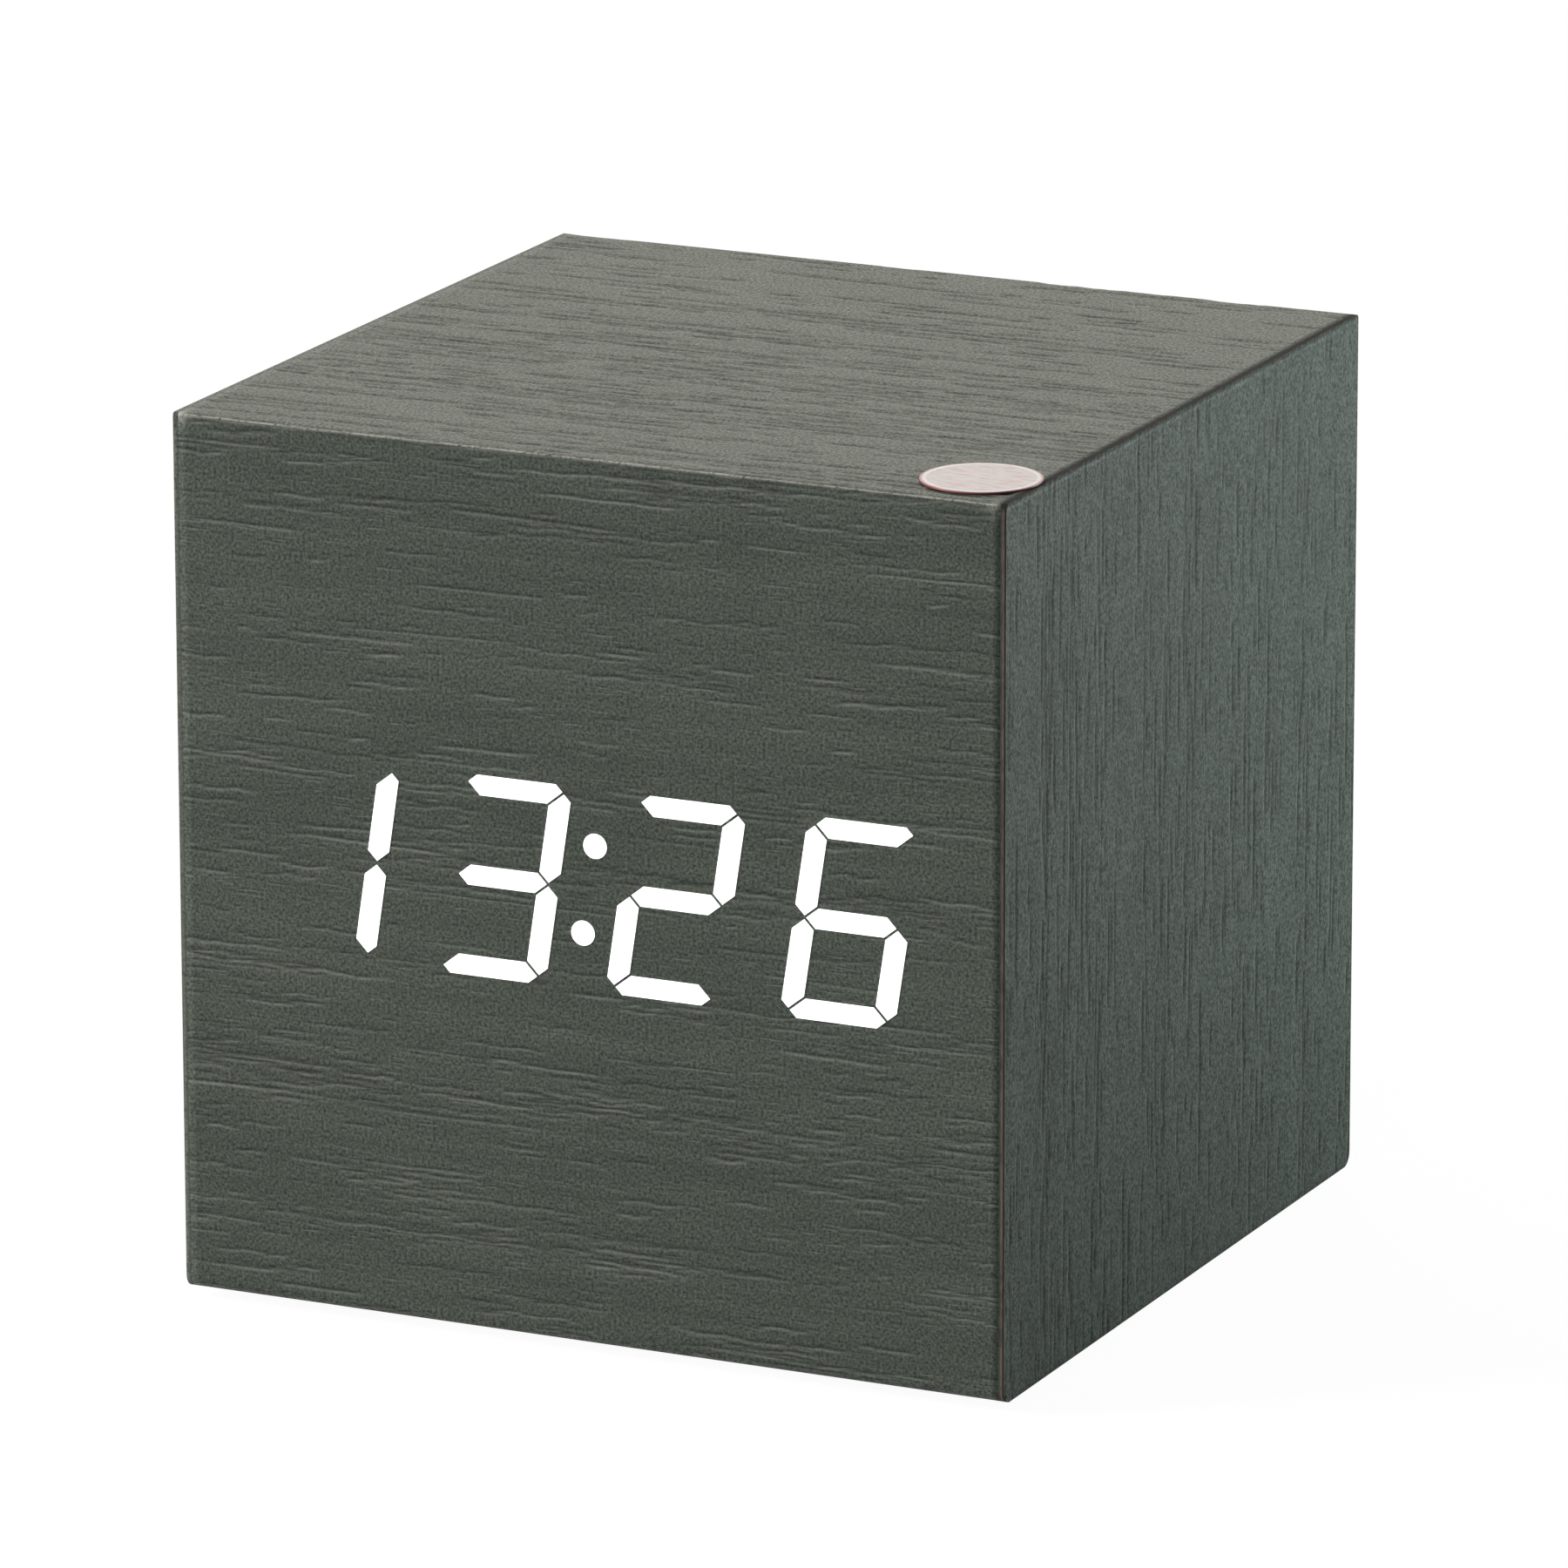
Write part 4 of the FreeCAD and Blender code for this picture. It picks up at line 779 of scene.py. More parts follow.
def slot_materials(effects: Effects) -> dict[Slot, Material]:
    """Makes the materials of the CAD parts that keep their own shape.

    A row holds its finish's values in order: dark, light, roughness, grain, patch, patchiness and
    relief, then metallic and scuff where they aren't 0. A striped row holds colours, axis, width,
    start and roughness, and an empty one takes its finish's own values.

    Args:
        effects: the shared effects.

    Returns:
        The materials by the record's slots.
    """
    rows: dict[Slot, tuple] = {
        Slot.BOARD: (),
        Slot.FOOT: ((0.010, 0.010, 0.010), (0.028, 0.027, 0.026), (0.80, 0.95), 0.3, 3.0, 0.4, 0.05),
        Slot.LIT: (),
        Slot.PLASTIC: (
            (0.010, 0.010, 0.011), (0.020, 0.020, 0.021), (0.42, 0.60), 0.16, 9.0, 0.35, 0.03, 0.0, 0.25,
        ),
        Slot.BUTTON: (
            (0.016, 0.016, 0.017), (0.030, 0.030, 0.032), (0.28, 0.42), 0.12, 2.5, 0.4, 0.006, 0.0, 0.35,
        ),
        Slot.MILKY: ((0.70, 0.70, 0.68), (0.84, 0.84, 0.82), (0.35, 0.50), 0.3, 2.0, 0.5, 0.004),
        Slot.CIRCUIT: (),
        Slot.CHIP: ((0.012, 0.012, 0.012), (0.030, 0.030, 0.030), (0.50, 0.70), 0.10, 2.0, 0.3, 0.02),
        Slot.SCREW: ((0.30, 0.30, 0.31), (0.50, 0.50, 0.50), (0.24, 0.46), 0.15, 1.2, 0.5, 0.006, 1.0, 0.6),
        Slot.PLATED: ((0.50, 0.50, 0.48), (0.70, 0.69, 0.66), (0.18, 0.34), 0.12, 2.0, 0.5, 0.004, 1.0, 0.5),
        Slot.COPPER: ((0.52, 0.24, 0.12), (0.76, 0.42, 0.25), (0.25, 0.42), 0.2, 2.0, 0.6, 0.01, 1.0, 0.4),
        Slot.LEAD: (((0.020, 0.018, 0.018), (0.30, 0.018, 0.014)), "X", 60.0, 0.0, 0.45),
        Slot.RIBBON: (((0.30, 0.30, 0.30), (0.50, 0.50, 0.49)), "X", 0.5, -4.25, 0.5),
        Slot.SLEEVE: ((0.012, 0.014, 0.030), (0.022, 0.026, 0.050), (0.28, 0.40), 0.3, 3.0, 0.5, 0.004),
        Slot.CAN: ((0.58, 0.58, 0.58), (0.78, 0.78, 0.77), (0.25, 0.40), 0.15, 2.0, 0.4, 0.006, 1.0, 0.4),
        Slot.FOAM: ((0.010, 0.010, 0.010), (0.040, 0.040, 0.040), (0.90, 1.00), 0.4, 2.0, 0.2, 0.15),
        Slot.PAPER: ((0.035, 0.034, 0.032), (0.085, 0.083, 0.078), (0.80, 0.95), 0.3, 2.5, 0.4, 0.05),
        Slot.MAGNET: (
            (0.060, 0.060, 0.062), (0.130, 0.128, 0.125), (0.45, 0.65), 0.2, 2.5, 0.5, 0.02, 0.6, 0.5,
        ),
    }
    kinds = {
        Slot.BOARD: BoardFinish, Slot.LIT: LitFinish, Slot.CIRCUIT: CircuitFinish,
        Slot.LEAD: StripedFinish, Slot.RIBBON: StripedFinish,
    }
    return {slot: kinds.get(slot, Finish)(slot.value, *row).build(effects) for slot, row in rows.items()}


def dress_nodes(materials: dict[Slot, Material]) -> None:
    """Gives each CAD node that stays the material of its slot.

    Args:
        materials: the materials by slot.
    """
    slots = {row["node"]: row["material_slot"] for row in frame["record"]["subparts"]}
    for name, node in frame["nodes"].items():
        material = materials.get(Slot(slots[name]))
        if material is not None:
            node.data.materials.clear()
            node.data.materials.append(material)
    log.info("%d finishes on the CAD parts", len(materials))


# Surfaces


@dataclass
class Surface:
    """A closed surface before it becomes a mesh.

    points are millimetres, each face is a list of point numbers, tones gives each face's material
    number, smooth says which faces are shaded round, and values are numbers at the points.
    """

    points: Array
    faces: list[list[int]]
    tones: Array
    smooth: Array
    values: Fields


def combined(parts: list[Surface]) -> Surface:
    """Several surfaces as one, with their point numbers carried on.

    Args:
        parts: the surfaces, which have the same kinds of values.

    Returns:
        The one surface.
    """
    faces: list[list[int]] = []
    start = 0
    for part in parts:
        faces += [[start + number for number in face] for face in part.faces]
        start += len(part.points)
    points, tones, smooth = (np.concatenate([getattr(part, field) for part in parts])
                             for field in ("points", "tones", "smooth"))
    values = {label: np.concatenate([part.values[label] for part in parts]) for label in parts[0].values}
    return Surface(points, faces, tones, smooth, values)


def sheet(outer: Array, inner_first: Array, inner_last: Array, values: Fields) -> Surface:
    """A sheet of film: a grid outside, one long quad for each row inside, and rims between the two.

    Quad (i, j) of the grid joins points (i, j), (i, j+1), (i+1, j+1) and (i+1, j). Row i of the inside runs
    from its first to its last point, and the two end rows close with one flat face each.

    Args:
        outer: the outer grid, rows by columns by 3.
        inner_first: the inner point beside each row's first column.
        inner_last: the inner point beside each row's last column.
        values: numbers on the outer grid, which are 0 inside.

    Returns:
        The closed surface, whose rims have material number 1.
    """
    rows, columns = outer.shape[:2]
    number = np.arange(rows * columns).reshape(rows, columns)
    first = rows * columns + np.arange(rows)
    last = first + rows
    grid = np.stack([number[:-1, :-1], number[:-1, 1:], number[1:, 1:], number[1:, :-1]], -1).reshape(-1, 4)
    rim_first = np.stack([number[:-1, 0], number[1:, 0], first[1:], first[:-1]], -1)
    rim_last = np.stack([number[1:, -1], number[:-1, -1], last[:-1], last[1:]], -1)
    back = np.stack([first[:-1], first[1:], last[1:], last[:-1]], -1)
    faces = np.concatenate([grid, rim_first, rim_last, back]).tolist()
    faces.append(number[0, ::-1].tolist() + [int(first[0]), int(last[0])])
    faces.append(number[-1].tolist() + [int(last[-1]), int(first[-1])])
    tones = np.ones(len(faces), np.int32)
    tones[:len(grid)] = 0
    points = np.concatenate([outer.reshape(-1, 3), inner_first, inner_last])
    inside = np.zeros(2 * rows)
    padded = {label: np.concatenate([field.ravel(), inside]) for label, field in values.items()}
    return Surface(points, faces, tones, tones == 0, padded)


def quarter_turn(count: int) -> Array:
    """Even angles from 0 to 90 degrees, in radians."""
    return np.radians(np.linspace(0.0, 90.0, count))


def places_within(start: float, end: float, step: float) -> Array:
    """The places at every step between two ends, without the ends."""
    return np.arange(start + step, end - step / 2, step)


def ring_quads(rings: int, count: int) -> Array:
    """The quads between rings of points, whose numbers run on from ring to ring.

    Args:
        rings: the number of rings.
        count: the number of points on each.

    Returns:
        Four point numbers for each quad.
    """
    number = np.arange(rings * count).reshape(rings, count)
    turned = np.roll(number, -1, axis=1)
    return np.stack([number[:-1], turned[:-1], turned[1:], number[1:]], -1).reshape(-1, 4)


def revolved(profile: Array, tones: list[int], centre: Triple, way: float, segments: int = 48) -> Surface:
    """A round body: every profile point (radius r, height h) goes to (r cos t, r sin t, h) about Z.

    Args:
        profile: the (r, h) points, starting and ending on the axis.
        tones: the material number of each band between profile points.
        centre: the point where h is 0.
        way: 1 or -1, the direction of rising h along Z.
        segments: the number of steps round.

    Returns:
        The surface, whose poles are merged when it becomes a mesh.
    """
    angle = np.linspace(0.0, 2.0 * math.pi, segments, endpoint=False)
    radius, height = profile[:, 0, None], profile[:, 1, None]
    level = np.broadcast_to(way * height, (len(profile), segments))
    points = np.stack((radius * np.cos(angle), radius * np.sin(angle), level), -1) + np.array(centre)
    quads = ring_quads(len(profile), segments)
    shown = np.repeat(np.array(tones, np.int32), segments)
    return Surface(points.reshape(-1, 3), quads.tolist(), shown, np.ones(len(quads), bool), {})


def raised(outline: Array, low: float, high: float, inset: float, centre: Pair) -> Surface:
    """A thin raised mark facing the rear: its outline rises from low to high and draws in on the way.

    Ring k is the outline times (1 - inset * k / 2) at the height low + (high - low) * sin(k * 45 degrees).

    Args:
        outline: (x, z) points about the mark's own middle.
        low: the y of its foot.
        high: the y of its top.
        inset: the share by which the top is smaller.
        centre: the (x, z) of the middle.

    Returns:
        The closed surface.
    """
    rings = []
    for step in range(3):
        flat = outline * (1.0 - inset * step / 2.0) + np.array(centre)
        height = low + (high - low) * math.sin(step * math.pi / 4.0)
        rings.append(np.column_stack([flat[:, 0], np.full(len(flat), height), flat[:, 1]]))
    count = len(outline)
    ends = np.arange(count)
    faces = ring_quads(3, count).tolist() + [ends[::-1].tolist(), (2 * count + ends).tolist()]
    tones = np.zeros(len(faces), np.int32)
    return Surface(np.concatenate(rings), faces, tones, np.zeros(len(faces), bool), {})


def mesh_of(surface: Surface, name: str) -> Mesh:
    """Makes a mesh of a surface, with doubles merged and faces outward.

    Args:
        surface: the surface, in millimetres.
        name: the mesh's name.

    Returns:
        The mesh, in metres.
    """
    mesh = bpy.data.meshes.new(name)
    mesh.from_pydata((surface.points * MM).tolist(), [], surface.faces)
    mesh.polygons.foreach_set("material_index", surface.tones)
    mesh.polygons.foreach_set("use_smooth", surface.smooth)
    for label, values in surface.values.items():
        mesh.attributes.new(label, "FLOAT", "POINT").data.foreach_set("value", values.astype(np.float32))
    work = bmesh.new()
    work.from_mesh(mesh)
    bmesh.ops.remove_doubles(work, verts=work.verts, dist=MERGE_DISTANCE)
    bmesh.ops.dissolve_degenerate(work, dist=MERGE_DISTANCE / 10.0, edges=work.edges)
    bmesh.ops.recalc_face_normals(work, faces=work.faces)
    if work.calc_volume(signed=True) < 0.0:
        bmesh.ops.reverse_faces(work, faces=work.faces)
    work.to_mesh(mesh)
    work.free()
    return mesh


def linked(name: str, data: bpy.types.ID) -> bpy.types.Object:
    """Makes an object of a mesh, lamp or camera and links it to the scene."""
    thing = bpy.data.objects.new(name, data)
    bpy.context.scene.collection.objects.link(thing)
    return thing


def place(mesh: Mesh, materials: list[Material], slot: Slot, *replaced: str,
          body: Body = Body.CASING) -> None:
    """Puts a mesh in the scene as a piece at the origin, on its body and for its CAD nodes.

    Args:
        mesh: the mesh, which has the piece's name.
        materials: its materials, in the order of its material numbers.
        slot: the record's slot of its main finish; not used.
        *replaced: the CAD nodes that it stands for.
        body: the body that it rides on.
    """
    for material in materials:
        mesh.materials.append(material)
    piece = linked(mesh.name, mesh)
    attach(piece, body.value)
    if replaced:
        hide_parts(*replaced)
    log.info("%s: %d faces on %s", piece.name, len(mesh.polygons), body.value)


# Grain


def smooth_step(share: Array) -> Array:
    """A share from 0 to 1 that starts and ends softly."""
    return share * share * (3.0 - 2.0 * share)


def edge_kept(distance: Array, over: float) -> Array:
    """A share that rises from 0 at an edge to 1 at a distance, so that cuts end at the edge."""
    return smooth_step(np.clip(distance / over, 0.0, 1.0))


def bell(places: Array, middle: float, width: float) -> Array:
    """A soft bump of height 1 about a middle."""
    return np.exp(-((places - middle) / width) ** 2)


def slow_noise(rng: np.random.Generator, across: Array, along: Array, sizes: Pair) -> Array:
    """Soft noise from 0 to 1 on a grid: random values on a coarse grid, blended by smooth steps both ways.

    Args:
        rng: the source of random values.
        across: the places across the grain.
        along: the places along the grain.
        sizes: the size of a coarse cell across and along.

    Returns:
        An array of across by along.
    """
    weights = []
    for places, size in zip((across, along), sizes):
        step = (places - places.min()) / size
        whole = np.floor(step).astype(int)
        share = smooth_step(step - whole)
        table = np.zeros((len(places), whole.max() + 2))
        table[np.arange(len(places)), whole] = 1.0 - share
        table[np.arange(len(places)), whole + 1] = share
        weights.append(table)
    coarse = rng.random((weights[0].shape[1], weights[1].shape[1]))
    return weights[0] @ coarse @ weights[1].T


@dataclass(frozen=True)
class Grain:
    """The embossed grooves of one face, spread by a seed.

    Each of the grooves is a line along the grain with its own length, slant, wave and hooked end.
    Across it, the depth falls off as exp(-(d / width)^2) from its line, and a raised rim follows beside
    it, whose pale colour line is a painted highlight.

    per_area is grooves per square millimetre, length the middle and the spread of a log-normal
    length, slant a spread in degrees, bands the size of the bands in which grooves gather, fade the
    share of them that is missing at the last row, and lip_away, reach and jitter are in widths,
    widths and millimetres. A wave turns by wave_turn along half ** wave_stretch, with a ripple of
    ripple_share on it that turns by ripple_turn. fine_share of the streaks is fine noise, and the
    rest is noise whose cells are larger by broad_cells.
    """

    seed: int
    per_area: float
    length: Pair
    longest: float
    width: Pair
    depth: Pair
    slant: float
    wave: float
    bands: float
    streak_cells: Pair
    strength: Pair
    lip_highlight_share: float
    fade: float = 0.0
    rest_depth: float = 0.015
    least_band: float = 0.08
    jitter: float = 0.05
    over_ends: float = 0.05
    wave_stretch: float = 0.6
    wave_turn: float = 3.0
    ripple_turn: float = 9.0
    ripple_share: float = 0.35
    hook: float = 0.10
    hook_power: int = 8
    lip_and_highlight: Pair = (0.15, 1.0)
    lip_away: float = 1.9
    lip_lift: float = 0.2
    reach: float = 4.5
    taper: Pair = (0.25, 0.3)
    broad_cells: Pair = (4.0, 2.0)
    fine_share: float = 0.6
    streak_contrast: float = 1.1

    def carve(self, across: Array, along: Array) -> Fields:
        """Works out the face's depth values, the grooves' darkening, the painted highlight beside them and
        the streak values.

        Args:
            across: the places across the grain, rising.
            along: the places along the grain, rising.

        Returns:
            Arrays of across by along, by name.
        """
        rng = np.random.default_rng(self.seed)
        field = {label: np.zeros((len(across), len(along))) for label in ("depth", "groove_and_shade", "lip_and_highlight")}
        span_across, span_along = np.ptp(across), np.ptp(along)
        count = int(self.per_area * span_across * span_along)
        dense = slow_noise(rng, across, np.array([0.0, 1.0]), (self.bands, 2.0))[:, 0] ** 2 + self.least_band
        dense *= 1.0 - self.fade * (across - across.min()) / span_across
        chosen = rng.choice(len(across), size=count, p=dense / dense.sum())
        middles = across[chosen] + rng.uniform(-self.jitter, self.jitter, count)
        over = self.over_ends * span_along
        starts = rng.uniform(along.min() - over, along.max() + over, count)
        lengths = np.minimum(rng.lognormal(math.log(self.length[0]), self.length[1], count), self.longest)
        slants = np.tan(np.radians(rng.normal(0.0, self.slant, count)))
        widths = rng.uniform(*self.width, count)
        depths = rng.uniform(*self.depth, count)
        strengths = rng.uniform(*self.strength, count)
        waves = rng.uniform(0.0, self.wave, count)
        phases = rng.uniform(0.0, 2.0 * math.pi, count)
        hooks = rng.normal(0.0, self.hook, (2, count))
        lips = rng.uniform(*self.lip_and_highlight, count)
        for k in range(count):
            half = lengths[k] / 2.0
            columns = np.flatnonzero(np.abs(along - starts[k]) < half)
            if len(columns) == 0:
                continue
            gone = (along[columns] - starts[k]) / half
            turn = gone * half ** self.wave_stretch
            wave = waves[k] * np.sin(self.wave_turn * turn + phases[k])
            line = middles[k] + slants[k] * gone * half + wave
            line += self.ripple_share * waves[k] * np.sin(self.ripple_turn * turn + 2.0 * phases[k])
            line += np.where(gone < 0.0, hooks[0, k], hooks[1, k]) * np.abs(gone) ** self.hook_power
            reach = self.reach * widths[k]
            rows = np.flatnonzero((across > line.min() - reach) & (across < line.max() + reach))
            if len(rows) == 0:
                continue
            away = (across[rows, None] - line[None, :]) / widths[k]
            ends = (1.0 - np.abs(gone)) * half / (self.taper[0] * half + self.taper[1])
            taper = np.clip(ends, 0.0, 1.0)[None, :]
            cut = np.exp(-away ** 2) * taper
            lip_and_highlight = np.exp(-(away + self.lip_away) ** 2) * taper
            here = np.ix_(rows, columns)
            deeper = np.maximum(field["depth"][here], depths[k] * cut)
            field["depth"][here] = deeper - self.lip_lift * depths[k] * lips[k] * lip_and_highlight
            field["groove_and_shade"][here] = np.maximum(field["groove_and_shade"][here], strengths[k] * cut)
            # Painted highlight: a pale colour line beside each groove, below it on the front.
            pale = self.lip_highlight_share * lips[k] * strengths[k] * lip_and_highlight
            field["lip_and_highlight"][here] = np.maximum(field["lip_and_highlight"][here], pale)
        fine = slow_noise(rng, across, along, self.streak_cells)
        broad_cells = tuple(times * size for times, size in zip(self.broad_cells, self.streak_cells))
        broad = slow_noise(rng, across, along, broad_cells)
        mixed = self.fine_share * fine + (1.0 - self.fine_share) * broad
        field["streak"] = np.clip(0.5 + self.streak_contrast * (mixed - 0.5), 0.0, 1.0)
        field["depth"] = np.maximum(field["depth"] + self.rest_depth, 0.0)
        return field


FRONT_GRAIN = Grain(
    seed=11, per_area=0.26, length=(3.0, 0.8), longest=20.0, width=(0.065, 0.100), depth=(0.04, 0.07),
    slant=1.0, wave=0.10, bands=1.8, streak_cells=(0.8, 10.0), strength=(0.6, 1.0), lip_highlight_share=1.15,
)
TOP_GRAIN = Grain(
    seed=23, per_area=0.32, length=(3.4, 0.65), longest=16.0, width=(0.13, 0.30), depth=(0.05, 0.11),
    slant=0.6, wave=0.10, bands=1.2, streak_cells=(0.45, 14.0), strength=(0.45, 1.0), lip_highlight_share=0.5,
    fade=0.65,
)
RIGHT_GRAIN = Grain(
    seed=37, per_area=0.24, length=(2.8, 0.7), longest=12.0, width=(0.10, 0.17), depth=(0.03, 0.08),
    slant=0.8, wave=0.06, bands=2.2, streak_cells=(0.6, 5.0), strength=(0.6, 1.0), lip_highlight_share=0.8, fade=0.6,
)
LEFT_GRAIN = replace(RIGHT_GRAIN, seed=41)


# Casing


@dataclass(frozen=True)
class CasingSizes:
    """The casing's sizes, as in the CAD model but for the sharper top fold, and the steps of its grids.

    change is the run over which the front's grain gives way to the top's, and wrap_end and side_end
    are the distances from a sheet's edge within which its grooves run out.
    """

    side_x: float = 31.0
    front_y: float = -30.25
    rear_y: float = 30.25
    base_z: float = 0.8
    top_z: float = 63.2
    film: float = 0.4
    top_fold: float = 0.25
    base_fold: float = 1.0
    rear_top: float = 0.3
    front_row: float = 0.1
    top_row: float = 0.2
    side_row: float = 0.12
    column: float = 0.6
    change: float = 0.4
    wrap_end: float = 0.6
    side_end: float = 0.3
    fold_points: int = 13
    corner_points: int = 10

    @property
    def core_x(self) -> float:
        """Half the width between the side films."""
        return self.side_x - self.film

    @property
    def fold_run(self) -> float:
        """The run along the folded sheet at which its top fold has its middle."""
        straight = self.top_z - self.top_fold - self.base_z - self.base_fold
        return math.pi / 2 * self.base_fold + straight + math.pi / 4 * self.top_fold


@dataclass(frozen=True)
class WearAndPaintedLight:
    """Abrasion and painted light on the folds: bands along the run, each by its middle and width, and
    strength.

    pale lies on the top fold and is abrasion with a painted highlight, shade is painted shade just below
    it and foot is painted shade at the base fold. The run of pale and shade is counted from the fold,
    and corner is the square of the abraded corners' reach, doubled. The pale band's amount gives its
    least share and what its patches add. side_rim and side_strength lay abrasion with a painted
    highlight along each side's front edge. The patches are the sizes of noise along the run and across
    it, for the side along Y and as a share of its height.
    """

    seed: int = 5
    pale: Pair = (0.02, 0.11)
    pale_strength: float = 1.1
    pale_amount: Pair = (0.55, 0.45)
    pale_patches: Pair = (2.0, 1.6)
    shade: Pair = (-0.28, 0.10)
    shade_patches: Pair = (2.0, 2.2)
    foot: Pair = (0.25, 0.3)
    foot_strength: float = 0.6
    shade_strength: float = 1.1
    corner: float = 0.5
    corner_strength: float = 0.6
    # A band of abrasion with a painted highlight along each side's front edge.
    side_rim: float = 0.12
    side_strength: float = 0.4
    side_patches: Pair = (1.5, 0.04)


class FilmCasing:
    """The wood-grain film: one folded sheet over front and top, the base's sheet and the two sides."""

    def __init__(self, sizes: CasingSizes, wear_and_light: WearAndPaintedLight, effects: Effects) -> None:
        """Keeps the sizes and makes the finishes.

        Args:
            sizes: the casing's sizes.
            wear_and_light: the abrasion, painted highlights and painted shade of the folds and the sides'
                front edges.
            effects: the shared effects.
        """
        self.sizes = sizes
        self.wear_and_light = wear_and_light
        wrap = FilmFinish("film_wrap", (0.049, 0.062, 0.050), (0.071, 0.087, 0.071), False)
        # The sides' ground and streak are a little lighter and bluer than the wrap's on the same film:
        # painted light on the sides.
        side = FilmFinish("film_side", (0.056, 0.068, 0.059), (0.077, 0.092, 0.079), True, 0.12)
        self.wrap_finish = wrap.build(effects)
        self.side_finish = side.build(effects)
        self.edge_finish = CutEdgeFinish().build(effects)

    def path(self) -> tuple[Array, Array, Array, Array]:
        """The sheet's line from the side: base fold, front, top fold, top and rear rounding.

        Returns:
            The outer (y, z) points, their outward directions, the inner points and the run along the line.
        """
        s = self.sizes
        turn = quarter_turn(s.fold_points)
        low_arc = np.column_stack([-np.sin(turn), -np.cos(turn)])
        top_arc = np.column_stack([-np.cos(turn), np.sin(turn)])
        rear_arc = np.column_stack([np.sin(turn), np.cos(turn)])
        rises = places_within(s.base_z + s.base_fold, s.top_z - s.top_fold, s.front_row)
        runs = places_within(s.front_y + s.top_fold, s.rear_y - s.rear_top, s.top_row)
        front = np.column_stack([np.full(len(rises), s.front_y), rises])
        top = np.column_stack([runs, np.full(len(runs), s.top_z)])
        parts = [
            (np.array([s.front_y + s.base_fold, s.base_z + s.base_fold]) + s.base_fold * low_arc, low_arc),
            (front, np.tile([-1.0, 0.0], (len(front), 1))),
            (np.array([s.front_y + s.top_fold, s.top_z - s.top_fold]) + s.top_fold * top_arc, top_arc),
            (top, np.tile([0.0, 1.0], (len(top), 1))),
            (np.array([s.rear_y - s.rear_top, s.top_z - s.rear_top]) + s.rear_top * rear_arc, rear_arc),
        ]
        outer, ways = (np.concatenate([part[k] for part in parts]) for k in (0, 1))
        inner = outer - s.film * ways
        inner[:, 0] = np.maximum(inner[:, 0], s.front_y + s.film)
        inner[:, 1] = np.minimum(inner[:, 1], s.top_z - s.film)
        turned = len(outer) - len(rear_arc)
        inner[turned:, 0] = outer[turned:, 0]
        inner[turned:, 1] = s.top_z - s.film
        steps = np.linalg.norm(np.diff(outer, axis=0), axis=1)
        return outer, ways, inner, np.concatenate([[0.0], np.cumsum(steps)])

    def rub(self, values: Fields, run: Array, x: Array) -> None:
        """Adds the abraded folds and corners, with a painted highlight on the top fold, and the painted shade
        beside the folds, to the folded sheet's values.

        Args:
            values: the sheet's values by name.
            run: the run along the sheet's line.
            x: the places across the clock.
        """
        r, fold = self.wear_and_light, self.sizes.fold_run
        rng = np.random.default_rng(r.seed)
        pale_amount = r.pale_amount[0] + r.pale_amount[1] * slow_noise(rng, run, x, r.pale_patches)
        # Abrasion with a painted highlight along the top fold.
        pale = bell(run - fold, *r.pale)[:, None]
        # Painted shade: a dark band just below the top fold and one at the base fold, laid into the grooves'
        # darkening.
        shaded = bell(run - fold, *r.shade)[:, None] + r.foot_strength * bell(run, *r.foot)[:, None]
        away = (run[:, None] - fold) ** 2 + (np.abs(x) - self.sizes.core_x) ** 2
        wear_and_highlight = r.pale_strength * pale * pale_amount + r.corner_strength * np.exp(-away / r.corner)
        values["wear_and_highlight"] = np.clip(wear_and_highlight, 0.0, 1.0)
        shade = r.shade_strength * shaded * slow_noise(rng, run, x, r.shade_patches)
        values["groove_and_shade"] = np.maximum(values["groove_and_shade"], shade)

    def build_wrap(self) -> None:
        """Builds the folded sheet: the path carried along X, less the grooves' depth along its directions."""
        s = self.sizes
        outer, ways, inner, run = self.path()
        x = np.linspace(-s.core_x, s.core_x, round(2 * s.core_x / s.column) + 1)
        over_top = np.clip((run - s.fold_run + s.change / 2.0) / s.change, 0.0, 1.0)
        values: Fields = {}
        for grain, share in ((FRONT_GRAIN, 1.0 - over_top), (TOP_GRAIN, over_top)):
            rows = share > 0.0
            for label, carved in grain.carve(run[rows], x).items():
                values.setdefault(label, np.zeros((len(run), len(x))))[rows] += carved * share[rows, None]
        along_kept = edge_kept(np.minimum(run, run[-1] - run), s.wrap_end)[:, None]
        depth = values.pop("depth") * along_kept * edge_kept(s.core_x - np.abs(x), s.side_end)
        grid = np.empty((len(run), len(x), 3))
        grid[..., 0] = x
        grid[..., 1:] = outer[:, None, :] - depth[..., None] * ways[:, None, :]
        self.rub(values, run, x)
        first, last = (np.column_stack([np.full(len(run), end), inner]) for end in (-s.core_x, s.core_x))
        mesh = mesh_of(sheet(grid, first, last, values), "film_front_top")
        place(mesh, [self.wrap_finish, self.edge_finish], Slot.FILM, "wrap_veneer")

    def side_ends(self, y: Array) -> tuple[Array, Array]:
        """The lowest and highest z of the side along its rounded corners.

        Args:
            y: the places from front to rear.

        Returns:
            The lowest and the highest z at each place.
        """
        s = self.sizes

        def corner_cut(inward: Array, radius: float) -> Array:
            """How much a round corner takes away at a distance inward from its edge."""
            left = radius - np.sqrt(np.maximum(radius ** 2 - (radius - inward) ** 2, 0.0))
            return np.where(inward < radius, left, 0.0)

        low, high = np.full(len(y), s.base_z), np.full(len(y), s.top_z)
        for edge, top in ((s.front_y, s.top_fold), (s.rear_y, s.rear_top)):
            inward = np.abs(y - edge)
            low += corner_cut(inward, s.base_fold)
            high -= corner_cut(inward, top)
        return low, high

